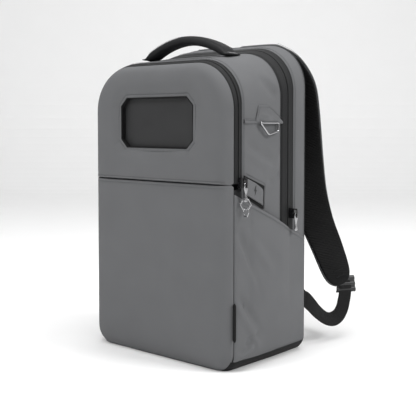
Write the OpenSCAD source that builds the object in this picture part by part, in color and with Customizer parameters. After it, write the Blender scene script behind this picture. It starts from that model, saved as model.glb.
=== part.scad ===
// Commuter backpack with a solar power bank behind a front window.
// Millimetres. Front faces -Y, right side is +X, origin on the floor at the centre of the base.

/* [Body] */
// Width across the two sides
body_w = 310; // [304:1:320]
// Width of the front panel
front_w = 300; // [292:1:302]
// Height of the back edge
body_h = 519; // [510:1:530]
// Height of the front panel
front_h = 478; // [472:1:484]
// Radius of the two top corners
top_r = 74; // [60:1:85]
// Radius of the two bottom corners
bottom_r = 28; // [24:1:50]
// Thickness of the padded fabric walls
wall = 3; // [2:0.5:4]

/* [Front] */
// Height of the seam that joins the flap to the lower front
seam_z = 291; // [288:1:294]
// How far the front pillows stand proud of their seam
pillow_rise = 16.5; // [13:0.5:18]
// Width of the solar window
window_w = 158; // [140:1:164]
// Height of the solar window
window_h = 80; // [70:1:84]
// Height of the window's centre above the floor
window_z = 385; // [383:1:387]
// Size of the window's cut corners
window_cut = 13; // [8:1:16]

/* [Side pockets] */
// Height of the pocket mouth at the front seam
mouth_front_z = 277; // [262:1:279]
// Height of the pocket mouth at the back edge
mouth_back_z = 193; // [180:1:200]
// How far the pocket stands off the side
pocket_gap = 6.4; // [6:0.1:7]

/* [Handle] */
// Distance between the two ends of the grab handle
handle_span = 150; // [140:1:160]
// Width of the padded grip
handle_w = 32; // [26:1:33]
// Thickness of the padded grip
handle_t = 14; // [11:0.5:15]

/* [Straps] */
// Width of the shoulder straps at the shoulder
strap_w = 76; // [68:1:80]
// Thickness of the foam in the shoulder straps
strap_t = 11; // [9:0.5:13]
// Width of the strap webbing
webbing_w = 25; // [20:1:28]
// Thickness of the strap webbing
webbing_t = 1.6; // [1.2:0.1:2]

/* [Hidden] */
$fn = 32;

gap = 0.3;                 // clearance between separate pieces
base_z = 20;               // height of the dark base up the sides
lid_z = 306.5;             // lower edge of the part of the sides that opens
tape_z = 284;              // lower edge of the front zip's opening part

// Depth planes, front to back
y_front = -95;
y_band1 = -75;
y_band2 = 20;
y_coil2 = 38;
y_band3 = 55;
y_back = 86;
y_coil1 = -85;
back_t = 4;

cord_grey = "#3c3e42";
cloth_grey = "#7c7e82";
black = "#1b1c1f";

function half_w(y) = lookup(y, [[y_front, front_w / 2], [y_band2, body_w / 2], [y_back, body_w / 2]]);
function top_z(y) = lookup(y, [
    [y_front, front_h], [y_band1, front_h + 7], [y_band2, body_h - 19],
    [y_band3, body_h - 8], [y_back + back_t, body_h]]);

function arc(cx, cz, r, from, to, n = 8) =
    [for (i = [0:n]) let (a = from + (to - from) * i / n) [cx + r * cos(a), cz + r * sin(a)]];
function flip(path) = [for (k = [len(path) - 1:-1:0]) [-path[k][0], path[k][1]]];
function back_to_front(path) = [for (k = [len(path) - 1:-1:0]) path[k]];
function at_y(path, y) = [for (p = path) [p[0], y, p[1]]];

// The lower end of a side wall, inset by i, starting at height c
function foot(y, i, c) = c < bottom_r
    ? arc(half_w(y) - bottom_r, bottom_r, bottom_r - i, asin((c - bottom_r) / (bottom_r - i)), 0, 5)
    : [[half_w(y) - i, c]];
// Half of the arch, from the foot up and round the top corner
function half_arch(y, i, c) = concat(
    foot(y, i, c), arc(half_w(y) - top_r, top_z(y) - top_r, top_r - i, 0, 90));
function arch(y, i, c) = concat(half_arch(y, i, c), flip(half_arch(y, i, c)));
function side_path(y, i, c, top) = concat(foot(y, i, c), [[half_w(y) - i, top]]);
// The whole outline of the bag at a depth, inset by i
function outline(y, i, low) = concat(
    arc(half_w(y) - bottom_r, low + bottom_r, bottom_r - i, -90, 0),
    arc(half_w(y) - top_r, top_z(y) - top_r, top_r - i, 0, 90),
    arc(top_r - half_w(y), top_z(y) - top_r, top_r - i, 90, 180),
    arc(bottom_r - half_w(y), low + bottom_r, bottom_r - i, 180, 270));

// Solid through a row of rings with equal numbers of points; turned splits the faces of each ring's first half the other way
module loft(rings, turned = false) {
    n = len(rings[0]);
    m = len(rings);
    polyhedron(
        points = [for (r = rings) each r],
        faces = concat(
            [[for (i = [0:n - 1]) i]],
            [for (j = [0:m - 2], i = [0:n - 1]) let (a = j * n + i, b = j * n + (i + 1) % n)
                turned && i < n / 2 ? [a + n, b, a] : [b + n, b, a]],
            [for (j = [0:m - 2], i = [0:n - 1]) let (a = j * n + i, b = j * n + (i + 1) % n)
                turned && i < n / 2 ? [a + n, b + n, b] : [a + n, b + n, a]],
            [[for (i = [n - 1:-1:0]) (m - 1) * n + i]]));
}

// Strip of fabric along paths given at two depths, outer face first
module strip(y0, y1, outer0, outer1, inner0, inner1) {
    loft([for (i = [0:len(outer0) - 1]) [
        [outer0[i][0], y0, outer0[i][1]], [outer1[i][0], y1, outer1[i][1]],
        [inner1[i][0], y1, inner1[i][1]], [inner0[i][0], y0, inner0[i][1]]]]);
}

// Arched strip of fabric between two depths, open below
module arch_strip(y0, y1, c) {
    strip(y0, y1, arch(y0, 0, c), arch(y1, 0, c), arch(y0, wall, c), arch(y1, wall, c));
}

// One side's strip of fabric between two depths and two heights
module side_strip(y0, y1, c, top) {
    strip(y0, y1, side_path(y0, 0, c, top), side_path(y1, 0, c, top),
        side_path(y0, wall, c, top), side_path(y1, wall, c, top));
}

module both_sides() {
    children();
    mirror([1, 0, 0]) children();
}

// Plate whose outline lies in the XZ plane, from y0 back to y1
module plate(points, y0, y1) {
    translate([0, y1, 0]) rotate([90, 0, 0]) linear_extrude(y1 - y0) polygon(points);
}

function rounded(w, z0, z1, r0, r1, i = 0) = let (a = max(r0 - i, 2), b = max(r1 - i, 2)) concat(
    arc(w / 2 - i - a, z0 + i + a, a, -90, 0), arc(w / 2 - i - b, z1 - i - b, b, 0, 90),
    arc(i + b - w / 2, z1 - i - b, b, 90, 180), arc(i + a - w / 2, z0 + i + a, a, 180, 270));

// Steps of the pillow's crown: how far out of the seam, and how far in from the edge
crown = [[0, 0], [0.36, 3], [0.7, 10], [0.92, 21], [1, 34]];

// Pillow with a rounded outline; low and high say how much of the inset its bottom and top edges take
module pillow(z0, z1, r0, r1, low = 1, high = 1) {
    function edge(s, i) = rounded(front_w, z0 - s * (1 - low), z1 + s * (1 - high), r0, r1, s + i);
    difference() {
        loft([for (s = crown) at_y(edge(s[1], 0), y_front - pillow_rise * s[0])]);
        loft([for (s = crown) at_y(edge(s[1], wall),
            s[0] == 0 ? y_front + 1 : y_front - (pillow_rise - wall) * s[0])]);
    }
}

function octagon(w, h, c) = [
    [w / 2, window_z - h / 2 + c], [w / 2, window_z + h / 2 - c], [w / 2 - c, window_z + h / 2],
    [c - w / 2, window_z + h / 2], [-w / 2, window_z + h / 2 - c], [-w / 2, window_z - h / 2 + c],
    [c - w / 2, window_z - h / 2], [w / 2 - c, window_z - h / 2]];

// ---- bag: base, walls and back ----

module base_panel() {
    color(black) difference() {
        plate(rounded(2 * half_w(0) - 4, 0, 2 * bottom_r, bottom_r, bottom_r), y_front + gap, y_back - gap);
        plate(rounded(2 * half_w(0) - 4, 0, 2 * bottom_r, bottom_r, bottom_r, wall), y_front - 1, y_back + 1);
        translate([-body_w, y_front - 1, base_z]) cube([2 * body_w, 300, 2 * bottom_r]);
    }
}

port_y = -50;
port_z = 276;
module side_wall() { side_strip(y_band1, y_band2 - gap, base_z + gap, lid_z - 0.5); }
module side_panel_right() {
    color(cloth_grey) difference() {
        side_wall();
        translate([half_w(port_y) - 10, port_y - 11.2, port_z - 7.2]) cube([20, 22.4, 14.4]);
    }
}
module side_panel_left() { color(cloth_grey) mirror([1, 0, 0]) side_wall(); }
module rear_gusset() { color(cloth_grey) arch_strip(y_band3, y_back - gap, base_z + gap); }
module main_zip_tape_rear() { color(cord_grey) arch_strip(y_coil2, y_band3 - gap, base_z + gap); }
module main_zip_tape_lower() {
    color(cord_grey) both_sides() side_strip(y_band2, y_coil2 - gap, base_z + gap, lid_z - 0.5);
}
module front_gusset_lower() {
    color(cord_grey) both_sides() side_strip(y_front + gap, y_band1 - gap, base_z + gap, tape_z - 0.5);
}
module back_panel() { color(black) plate(outline(y_back, 0, 0), y_back, y_back + back_t); }
module frame_sheet() { color("#d8d9da") plate(rounded(284, 14, 488, 40, 60), y_back - 4, y_back - 2); }
module laptop_divider() { color(cord_grey) plate(rounded(290, 22, 400, 30, 12), 63, 66); }
module lower_divider() { color(cord_grey) plate(rounded(290, 22, lid_z - 1, 30, 2), -72, -70); }

module back_pad_right() {
    color(black) plate([for (p = rounded(96, 150, 490, 26, 34)) [p[0] + 72, p[1]]], 90.3, 100.5);
}
module back_pad_left() { mirror([1, 0, 0]) back_pad_right(); }
module lumbar_pad() { color(black) plate(rounded(240, 30, 138, 30, 26), 90.3, 100.5); }
module strap_yoke() { color(cord_grey) plate(rounded(216, 494, 511, 4, 4), 90.3, 91.5); }

// ---- bag: lower front, pockets, tabs ----

module front_lower_panel() { color(cloth_grey) pillow(1.5, seam_z - gap, bottom_r + 6, 4, high = 0.15); }

function mouth_z(y) = mouth_front_z + (mouth_back_z - mouth_front_z) * (y - y_front) / (y_back - y_front);
function pocket_x(y) = half_w(y) + gap
    + (y > -60 && y < 40 ? pocket_gap * pow(sin(180 * (y + 60) / 100), 0.7) : 0);
pocket_depths = [84, 62, 40, 34, 22, 6, -10, -26, -42, -54, -60, -76, -92];
pocket_t = 2.2;
hem_h = 9;
// Cross-section of the pocket cloth at a depth, through a list of heights from low to high
function cloth(y, zs) =
    let (lean = pocket_x(y) - half_w(y) - gap, x = [for (z = zs) half_w(y) + gap + lean * min(1, (z - bottom_r) / 100)])
    concat([for (i = [0:len(zs) - 1]) [x[i] + pocket_t, y, zs[i]]],
        [for (i = [len(zs) - 1:-1:0]) [x[i], y, zs[i]]]);
module pocket_cloth() {
    loft([for (y = pocket_depths) cloth(y, [bottom_r, 130, mouth_z(y) - hem_h - 0.1])]);
}
module pocket_hem() { loft([for (y = pocket_depths) cloth(y, [mouth_z(y) - hem_h, mouth_z(y)])]); }
module side_pocket_right() { color(cloth_grey) pocket_cloth(); }
module side_pocket_left() { color(cloth_grey) mirror([1, 0, 0]) pocket_cloth(); }
module pocket_hem_right() { color(cord_grey) pocket_hem(); }
module pocket_hem_left() { color(cord_grey) mirror([1, 0, 0]) pocket_hem(); }

module seam_tab() {
    color(black) translate([half_w(y_front) + gap, y_front - 3, 52]) cube([6, 2.6, 60]);
}

anchor_x = 140;
module webbing_anchor_right() {
    color(black) translate([anchor_x - 15, 90.2, 74]) cube([29.8, 3, 30]);
}
module webbing_anchor_left() { mirror([1, 0, 0]) webbing_anchor_right(); }

module usb_port() {
    x = half_w(port_y);
    color(black) difference() {
        translate([x - 9, port_y - 11, port_z - 7]) cube([9.4, 22, 14]);
        translate([x - 7, port_y - 7.5, port_z - 3.5]) cube([20, 15, 7]);
    }
}

// ---- webbing ----

function unit(v) = v / norm(v);
// Flat band along a list of [point, width direction] pairs
module band(route) {
    n = len(route) - 1;
    loft([for (i = [0:n])
        let (p = route[i][0], d = unit(route[min(i + 1, n)][0] - route[max(i - 1, 0)][0]),
            w = unit(route[i][1] - d * (d * route[i][1])) * webbing_w / 2,
            s = unit(cross(w, d)) * webbing_t / 2)
        [p - w - s, p + w - s, p + w + s, p - w + s]]);
}

// From the anchor at the bag's lower corner, in a hanging loop, and up towards the ladder lock
lower_route = [
    [[141, 95.7, 88], [0, 0, 1]], [[146, 103, 86], [0, 0.1, 1]], [[151, 114, 75], [0, 0.4, 0.9]],
    [[156, 128, 60], [-0.1, 0.55, 0.8]], [[160, 146, 47], [-0.3, 0.35, 0.9]],
    [[162, 165, 41], [-0.47, 0, 0.9]], [[163, 184, 44], [-0.5, -0.35, 0.8]],
    [[163, 197, 54], [-0.5, -0.7, 0.5]], [[163, 202, 64], [-0.5, -0.87, 0.1]]];
upper_route = [
    [[163, 203, 67], [-0.5, -0.87, 0]], [[163, 205, 72], [-0.5, -0.87, 0]],
    [[163, 207, 77], [-0.5, -0.87, 0]]];
module lower_webbing_right() { color(black) band(lower_route); }
module lower_webbing_left() { mirror([1, 0, 0]) lower_webbing_right(); }
module strap_webbing_right() { color(black) band(upper_route); }
module strap_webbing_left() { mirror([1, 0, 0]) strap_webbing_right(); }

// ---- lid: the part of the bag that opens forward ----

module upper_gusset() { color(cloth_grey) arch_strip(y_band1, y_band2 - gap, lid_z); }
module main_zip_tape_front() { color(cord_grey) arch_strip(y_band2, y_coil2 - gap, lid_z); }
module front_zip_tape_rear() { color(cord_grey) arch_strip(y_coil1 + gap, y_band1 - 1.6, tape_z); }
module lid_divider() {
    color(cord_grey) difference() {
        plate(rounded(290, 100, top_z(-71) - 6, 30, top_r - 6), -72, -70);
        translate([-200, -100, 0]) cube([400, 60, lid_z + 0.5]);
    }
}

ring_x = half_w(-16) + 5.6;
ring_z = 385;
module d_ring_tab() {
    color(cloth_grey) {
        translate([half_w(-16) + 1.4, 0, 0]) rotate([90, 0, 90]) linear_extrude(2)
            polygon([[-49, 386], [25, 388], [-12, 413], [-40, 413]]);
        difference() {
            translate([ring_x, -34, ring_z]) rotate([-90, 0, 0]) cylinder(h = 36, r = 3.6);
            translate([ring_x, -35, ring_z]) rotate([-90, 0, 0]) cylinder(h = 38, r = 2.3);
        }
    }
}

handle_y = -27;
handle_z = top_z(handle_y) + 20;
module handle_anchor_right() {
    x = handle_span / 2;
    color(black) loft([for (y = [handle_y - handle_w / 2, handle_y + handle_w / 2])
        let (z = top_z(y) + gap) [[x - 24, y, z], [x - 24, y, z + 2], [x - 12, y, z + 3],
            [x, y, z + 3], [x + 18, y, z + 2], [x + 18, y, z]]]);
}
module handle_anchor_left() { mirror([1, 0, 0]) handle_anchor_right(); }

// ---- front flap with the solar power bank ----

frame_lap = 7;
module front_flap_panel() {
    color(cloth_grey) difference() {
        pillow(seam_z + gap, front_h, 4, top_r, low = 0.15);
        plate(octagon(window_w + 2 * frame_lap + 0.4, window_h + 2 * frame_lap + 0.4, window_cut + 4),
            y_front - 40, y_front);
    }
}
module front_zip_tape_front() {
    color(cord_grey) arch_strip(y_front + gap, y_coil1 - gap, seam_z + 1.5);
}
window_y = y_front - pillow_rise;
module window_frame() {
    color(cloth_grey) difference() {
        plate(octagon(window_w + 2 * frame_lap, window_h + 2 * frame_lap, window_cut + 4),
            window_y - 0.3, window_y + 11);
        plate(octagon(window_w, window_h, window_cut), window_y - 2, window_y + 13);
    }
}
bank_w = window_w + 4;
bank_h = window_h + 4;
module box_at(w, d, h, y, z) { translate([-w / 2, y, z - h / 2]) cube([w, d, h]); }
module solar_panel() { color("#2c2d30") box_at(bank_w, 1.8, bank_h, window_y + 11.1, window_z); }
module power_bank_case() {
    color(black) difference() {
        box_at(bank_w, 12, bank_h, window_y + 13, window_z);
        box_at(bank_w - 4, 10, bank_h - 4, window_y + 12.8, window_z);
    }
}
module battery_cell() {
    color("silver") translate([-14, 0, 0]) box_at(bank_w - 40, 7.4, bank_h - 12, window_y + 15, window_z);
}
module charge_board() {
    color("darkgreen") translate([bank_w / 2 - 16, 0, 0]) {
        box_at(22, 1.6, bank_h - 14, window_y + 20.8, window_z);
        box_at(12, 4.5, 14, window_y + 16.2, window_z + 12);
    }
}

// ---- grab handle ----

module grab_handle() {
    r = handle_w / 2;
    leg = handle_span / 2;
    rise = 17;
    // The grip's arch is a shallow arc that meets the two upright ends
    arch_r = (leg * leg + rise * rise) / (2 * rise);
    half = asin(leg / arch_r);
    color(black) intersection() {
        union() {
            plate(concat(arc(0, handle_z + rise - arch_r, arch_r, 90 - half, 90 + half, 14),
                arc(0, handle_z + rise - arch_r, arch_r - handle_t, 90 + half, 90 - half, 14)),
                handle_y - r, handle_y + r);
            both_sides() translate([leg - 13, handle_y - r, handle_z - r]) cube([13, 2 * r, r + 1]);
        }
        union() {
            translate([-leg, handle_y, handle_z]) rotate([0, 90, 0]) cylinder(h = 2 * leg, r = r);
            translate([-leg, handle_y - r, handle_z]) cube([2 * leg, 2 * r, 40]);
        }
    }
}

// ---- metal: D-ring, zip sliders, pulls and rings ----

// Round wire along a closed outline in the YZ plane
module wire_loop(path, r) {
    n = len(path);
    rings = [for (i = [0:n - 1])
        let (p = path[i], a = path[(i + n - 1) % n], b = path[(i + 1) % n],
            u = (p - a) / norm(p - a), v = (b - p) / norm(b - p),
            m = (u + v) / norm(u + v), k = 1 / (m * u))
        [for (j = [0:11]) let (c = r * cos(j * 30) * k, s = r * sin(j * 30))
            [s, p[0] + m[1] * c, p[1] - m[0] * c]]];
    polyhedron(
        points = [for (q = rings) each q],
        faces = [for (i = [0:n - 1], j = [0:11], t = [0, 1])
            let (a = i * 12 + j, b = i * 12 + (j + 1) % 12, c = ((i + 1) % n) * 12)
            t == 0 ? [a, c + j, c + (j + 1) % 12] : [a, c + (j + 1) % 12, b]]);
}

module d_ring() {
    color("silver") translate([ring_x, -16, ring_z])
        wire_loop([[-24, 0], [24, 0], [25, -8], [17, -15], [-17, -17], [-25, -8]], 1.8);
}

slider_rise = 10.4;        // how far the zip slider's face stands off the tape
module slider_body() {
    color(black) difference() {
        union() {
            translate([2 * gap, -5, -8]) cube([slider_rise - 2 * gap, 10, 16]);
            translate([slider_rise - 0.1, -1, -7]) cube([4.3, 2, 14]);
        }
        translate([slider_rise, -2, -5.6]) cube([3, 4, 11.2]);
        translate([-1, -1.2, -9]) cube([4, 2.4, 18]);
    }
}
pull_drop = 29;
module pull_plate() {
    color("silver") translate([slider_rise + 1.4, 0, 0]) {
        translate([0, -4, 0]) rotate([-90, 0, 0]) cylinder(h = 8, r = 0.9);
        for (s = [-1, 1]) translate([-0.9, s * 3.1 - 0.9, -12]) cube([1.8, 1.8, 12]);
        difference() {
            translate([-0.9, -5, -pull_drop]) cube([1.8, 10, pull_drop - 11]);
            translate([-2, -3.4, 3 - pull_drop]) cube([4, 6.8, 5]);
        }
    }
}
front_y = -81;
front_x = half_w(front_y);
front_slider_z = 294;
main_y = 46;
main_slider_z = 238;
module front_zip_slider() { translate([front_x, front_y, front_slider_z]) slider_body(); }
module front_zip_pull() { translate([front_x, front_y, front_slider_z]) pull_plate(); }
module main_zip_slider() { translate([body_w / 2, main_y, main_slider_z]) slider_body(); }
module main_zip_pull() { translate([body_w / 2, main_y, main_slider_z]) pull_plate(); }

// Six-sided wire ring hanging from its flat top side, turned about the vertical
module hex_ring(size, wire, turn) {
    rotate([0, 0, turn]) translate([0, 0, -size * cos(30)])
        wire_loop([for (a = [60:60:360]) [size * cos(a), size * sin(a)]], wire);
}
ring_top_z = front_slider_z - pull_drop + 4.1;
ring_size = 8.6;
lock_top_z = ring_top_z - 2 * ring_size * cos(30) + 1.9;
pull_x = front_x + slider_rise + 1.4;
module pull_ring() {
    color("silver") translate([pull_x, front_y, ring_top_z]) hex_ring(ring_size, 0.9, -34);
}
module lock_ring() { color("silver") translate([pull_x, front_y, lock_top_z]) hex_ring(7.2, 0.8, -105); }

// ---- charging port's flap ----

module port_flap() {
    color(cloth_grey) translate([half_w(-26) + gap, 0, 0]) rotate([90, 0, 90]) linear_extrude(1.3)
        polygon([[-70.4, 301.4], [-26, 284], [-29, 256], [-69.6, 275]]);
}

// ---- shoulder straps ----

// Centre of the strap, half width, and how far its face is turned about the vertical, root to end
strap_route = [
    [[54, 92.5, 515], 0.54, 0], [[53, 104, 515.5], 0.53, 0], [[53, 122, 513], 0.51, 0],
    [[56, 143, 506], 0.5, 0], [[62, 161, 492], 0.5, 0], [[70, 174, 470], 0.49, 3],
    [[78, 180, 442], 0.49, 8], [[84, 180, 405], 0.48, 12], [[90, 178, 365], 0.46, 17],
    [[99, 173, 315], 0.44, 24], [[111, 169, 262], 0.41, 33], [[125, 172, 212], 0.39, 42],
    [[142, 179, 166], 0.38, 52], [[156, 185, 126], 0.36, 60], [[162, 188, 109], 0.29, 62],
    [[165, 190, 100], 0.16, 63]];
// Ring of a strap layer: the layer lies from lo to hi across the strap's thickness
function strap_ring(i, lo, hi) =
    let (n = len(strap_route) - 1, s = strap_route[i],
        d = strap_route[min(i + 1, n)][0] - strap_route[max(i - 1, 0)][0],
        w = [cos(s[2]), sin(s[2]), 0], h = strap_w * s[1],
        o = cross(w, d) / norm(cross(w, d)), e = 3, t = min(3, (hi - lo) / 3))
    [for (q = [[-h, lo + t], [e - h, lo], [h - e, lo], [h, lo + t], [h, hi - t], [h - e, hi],
        [e - h, hi], [-h, hi - t]]) s[0] + w * q[0] - o * q[1]];
module strap_layer(lo, hi, turned = false) {
    loft([for (i = [0:len(strap_route) - 1]) strap_ring(i, lo, hi)], turned);
}
module shoulder_strap_right() { color(cloth_grey) strap_layer(-strap_t / 2, strap_t / 2); }
module shoulder_strap_left() { mirror([1, 0, 0]) shoulder_strap_right(); }
module strap_mesh_right() { color(black) strap_layer(strap_t / 2 + gap, strap_t / 2 + 2.2, true); }
module strap_mesh_left() { mirror([1, 0, 0]) strap_mesh_right(); }

// Ladder lock on the outer face of the strap's end, leaning with the webbing
module ladder_lock_right() {
    color(black) translate([161.8, 211, 97]) rotate([0, 0, 60]) rotate([90, 0, 0]) difference() {
        linear_extrude(3.2) polygon([[-20, -15], [20, -15], [16, 15], [-16, 15]]);
        for (z = [-10, -1, 8]) translate([-13.5, z - 2.2, -1]) cube([27, 4.4, 8]);
    }
}
module ladder_lock_left() { mirror([1, 0, 0]) ladder_lock_right(); }

base_panel();
side_panel_right();
side_panel_left();
rear_gusset();
main_zip_tape_rear();
main_zip_tape_lower();
back_panel();
frame_sheet();
laptop_divider();
back_pad_right();
back_pad_left();
lumbar_pad();
front_lower_panel();
front_gusset_lower();
lower_divider();
side_pocket_right();
side_pocket_left();
pocket_hem_right();
pocket_hem_left();
seam_tab();
strap_yoke();
webbing_anchor_right();
webbing_anchor_left();
lower_webbing_right();
lower_webbing_left();
usb_port();
upper_gusset();
lid_divider();
main_zip_tape_front();
front_zip_tape_rear();
d_ring_tab();
handle_anchor_right();
handle_anchor_left();
front_flap_panel();
front_zip_tape_front();
window_frame();
solar_panel();
power_bank_case();
battery_cell();
charge_board();
grab_handle();
d_ring();
front_zip_slider();
front_zip_pull();
pull_ring();
lock_ring();
main_zip_slider();
main_zip_pull();
port_flap();
shoulder_strap_right();
shoulder_strap_left();
strap_mesh_right();
strap_mesh_left();
ladder_lock_right();
ladder_lock_left();
strap_webbing_right();
strap_webbing_left();
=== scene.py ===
"""Looks of the solar backpack: cloth skins, pads, straps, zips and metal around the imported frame.

Shapes are worked out in millimetres in the frame's own axes (front -Y, right +X, up +Z)
and turned into metres when a mesh is made.
"""
import math

import bmesh
import bpy
from mathutils import Matrix, Vector, noise


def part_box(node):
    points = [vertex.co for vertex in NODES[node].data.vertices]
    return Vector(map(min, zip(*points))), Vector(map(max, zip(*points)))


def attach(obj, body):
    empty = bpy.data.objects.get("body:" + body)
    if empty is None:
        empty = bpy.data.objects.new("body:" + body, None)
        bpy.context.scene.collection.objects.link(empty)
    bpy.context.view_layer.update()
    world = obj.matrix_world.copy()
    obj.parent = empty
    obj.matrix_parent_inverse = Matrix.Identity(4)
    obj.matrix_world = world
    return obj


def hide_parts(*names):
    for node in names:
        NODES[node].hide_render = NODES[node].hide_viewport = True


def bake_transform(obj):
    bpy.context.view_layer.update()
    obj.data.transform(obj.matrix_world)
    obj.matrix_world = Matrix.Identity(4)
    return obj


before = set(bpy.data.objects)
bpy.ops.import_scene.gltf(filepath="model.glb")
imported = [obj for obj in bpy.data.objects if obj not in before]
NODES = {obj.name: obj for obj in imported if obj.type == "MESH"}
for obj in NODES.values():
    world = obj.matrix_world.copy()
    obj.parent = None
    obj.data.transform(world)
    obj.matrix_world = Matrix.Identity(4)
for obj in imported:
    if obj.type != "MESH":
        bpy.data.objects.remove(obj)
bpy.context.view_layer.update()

MM = 0.001


def node_box(name):
    """Lowest and highest corner of a CAD node, in millimetres."""
    low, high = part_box(name)
    return [v / MM for v in low], [v / MM for v in high]


# ---- sizes, from the frame ----

flap_low, flap_high = node_box("front_flap_panel")
lower_low, lower_high = node_box("front_lower_panel")
back_low, back_high = node_box("back_panel")
lid_low = node_box("upper_gusset")[0]
rear_low = node_box("rear_gusset")[0]
tape_low = node_box("main_zip_tape_rear")[0]
front_tape_low = node_box("front_zip_tape_rear")[0]
lid_tape_low, lid_tape_high = node_box("main_zip_tape_front")

FRONT_W = flap_high[0] - flap_low[0]
BODY_W = back_high[0] - back_low[0]
FRONT_H = flap_high[2]
BODY_H = back_high[2]
Y_FRONT = flap_high[1]
Y_FACE = flap_low[1]
Y_LID = lid_low[1]
Y_TAPE = lid_tape_low[1]
Y_COIL = tape_low[1]
Y_REAR = rear_low[1]
Y_BACK = back_low[1]
Y_END = back_high[1]
Y_FRONT_COIL = front_tape_low[1]
SEAM_Z = (flap_low[2] + lower_high[2]) / 2
TAPE_Z = front_tape_low[2]
TOP_R = 74
BOTTOM_R = 28
BASE_Z = 20
RISE = Y_FRONT - Y_FACE


def along(value, stops):
    """Straight-line interpolation through (position, result) pairs."""
    if value <= stops[0][0]:
        return stops[0][1]
    for (a, p), (b, q) in zip(stops, stops[1:]):
        if value <= b:
            return p + (q - p) * (value - a) / (b - a)
    return stops[-1][1]


def half_w(y):
    return along(y, [(Y_FRONT, FRONT_W / 2), (Y_TAPE, BODY_W / 2)])


def top_z(y):
    return along(y, [(Y_FRONT, FRONT_H), (Y_LID, FRONT_H + 7), (Y_TAPE, BODY_H - 19),
                     (Y_REAR, BODY_H - 8), (Y_END, BODY_H)])


def smooth(t):
    t = min(max(t, 0), 1)
    return t * t * (3 - 2 * t)


def bump_noise(p, size, seed=0.0):
    return noise.noise(Vector((p[0] / size + seed, p[1] / size - seed, p[2] / size + 2 * seed)))


def ridge(p, a, b, width, height):
    """A soft fold from a to b, both (y, z), on a side of the bag: its height at point p."""
    ax, az = a
    dx, dz = b[0] - ax, b[1] - az
    length = dx * dx + dz * dz
    t = ((p[1] - ax) * dx + (p[2] - az) * dz) / length
    d = math.hypot(p[1] - ax - dx * t, p[2] - az - dz * t)
    ends = smooth((t + 0.25) / 0.35) * smooth((1.25 - t) / 0.35)
    return height * math.exp(-(d / width) ** 2) * ends


# ---- materials ----

def new_material(name):
    material = bpy.data.materials.new(name)
    material.use_nodes = True
    tree = material.node_tree
    return material, tree, tree.nodes["Principled BSDF"]


def add(tree, kind, inputs=None, **settings):
    node = tree.nodes.new(kind)
    for key, value in settings.items():
        setattr(node, key, value)
    for key, value in (inputs or {}).items():
        if isinstance(value, bpy.types.NodeSocket):
            tree.links.new(value, node.inputs[key])
        else:
            node.inputs[key].default_value = value
    return node


def coordinates(tree, by_uv, turn=0.0):
    """Surface coordinates in millimetres, turned about the normal."""
    source = add(tree, "ShaderNodeTexCoord").outputs["UV" if by_uv else "Object"]
    mapping = add(tree, "ShaderNodeMapping", {"Vector": source, "Scale": (1 / MM, 1 / MM, 1 / MM),
                                              "Rotation": (0, 0, turn)})
    return mapping.outputs["Vector"]


BAND_PERIOD = 0.314


def waves(tree, vector, period, axis="X", distort=0.0):
    """Parallel bands, one each period millimetres."""
    return add(tree, "ShaderNodeTexWave",
               {"Vector": vector, "Scale": BAND_PERIOD / period, "Distortion": distort, "Detail": 1.0},
               wave_type="BANDS", bands_direction=axis).outputs["Fac"]


def mix_colour(tree, factor, dark, light):
    ramp = add(tree, "ShaderNodeValToRGB", {"Fac": factor})
    ramp.color_ramp.elements[0].color = (*dark, 1)
    ramp.color_ramp.elements[1].color = (*light, 1)
    return ramp.outputs["Color"]


def noise_fac(tree, vector, scale, detail=2.0):
    """Cloudy noise, with scale in cells per millimetre."""
    return add(tree, "ShaderNodeTexNoise", {"Vector": vector, "Scale": scale, "Detail": detail}).outputs["Fac"]


def add_bump(tree, shader, strength, depth, height):
    """Relief on the shader's normal, depth in millimetres."""
    bump = add(tree, "ShaderNodeBump", {"Strength": strength, "Distance": depth * MM, "Height": height})
    tree.links.new(bump.outputs["Normal"], shader.inputs["Normal"])


def math_node(tree, operation, a, b):
    return add(tree, "ShaderNodeMath", {0: a, 1: b}, operation=operation).outputs[0]


def tone(colour, factor):
    return tuple(c * factor for c in colour)


def cloth(name, colour, by_uv=True, period=1.5, contrast=0.2, rough=0.78, depth=0.12, sheen=0.015,
          turn=0.78, blotch=0.10, thread=0.5):
    """Woven cloth: twill ribs, cross threads, slubs and slow changes of shade, with matching bump."""
    material, tree, shader = new_material(name)
    vector = coordinates(tree, by_uv, turn)
    twill = waves(tree, vector, period, "X", 0.4)
    cross = waves(tree, vector, period * thread, "Y", 0.3)
    slow = noise_fac(tree, vector, 0.018, 4.0)
    fine = noise_fac(tree, vector, 0.9, 2.0)
    weave = math_node(tree, "MULTIPLY_ADD", cross, 0.3)
    tree.links.new(math_node(tree, "MULTIPLY", twill, 0.7), weave.node.inputs[2])
    speck = math_node(tree, "MULTIPLY_ADD", fine, 0.25)
    tree.links.new(weave, speck.node.inputs[2])
    shade = mix_colour(tree, speck, tone(colour, 1 - contrast), tone(colour, 1 + contrast * 0.7))
    wear = mix_colour(tree, slow, (1 - blotch,) * 3, (1 + blotch,) * 3)
    product = add(tree, "ShaderNodeMix", data_type="RGBA", blend_type="MULTIPLY")
    product.inputs["Factor"].default_value = 1
    tree.links.new(shade, product.inputs["A"])
    tree.links.new(wear, product.inputs["B"])
    tree.links.new(product.outputs["Result"], shader.inputs["Base Color"])
    roughness = math_node(tree, "MULTIPLY_ADD", slow, 0.16)
    roughness.node.inputs[2].default_value = rough - 0.08
    tree.links.new(roughness, shader.inputs["Roughness"])
    shader.inputs["Sheen Weight"].default_value = sheen
    shader.inputs["Sheen Roughness"].default_value = 0.5
    shader.inputs["Specular IOR Level"].default_value = 0.16
    add_bump(tree, shader, 0.55, depth, speck)
    return material


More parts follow.
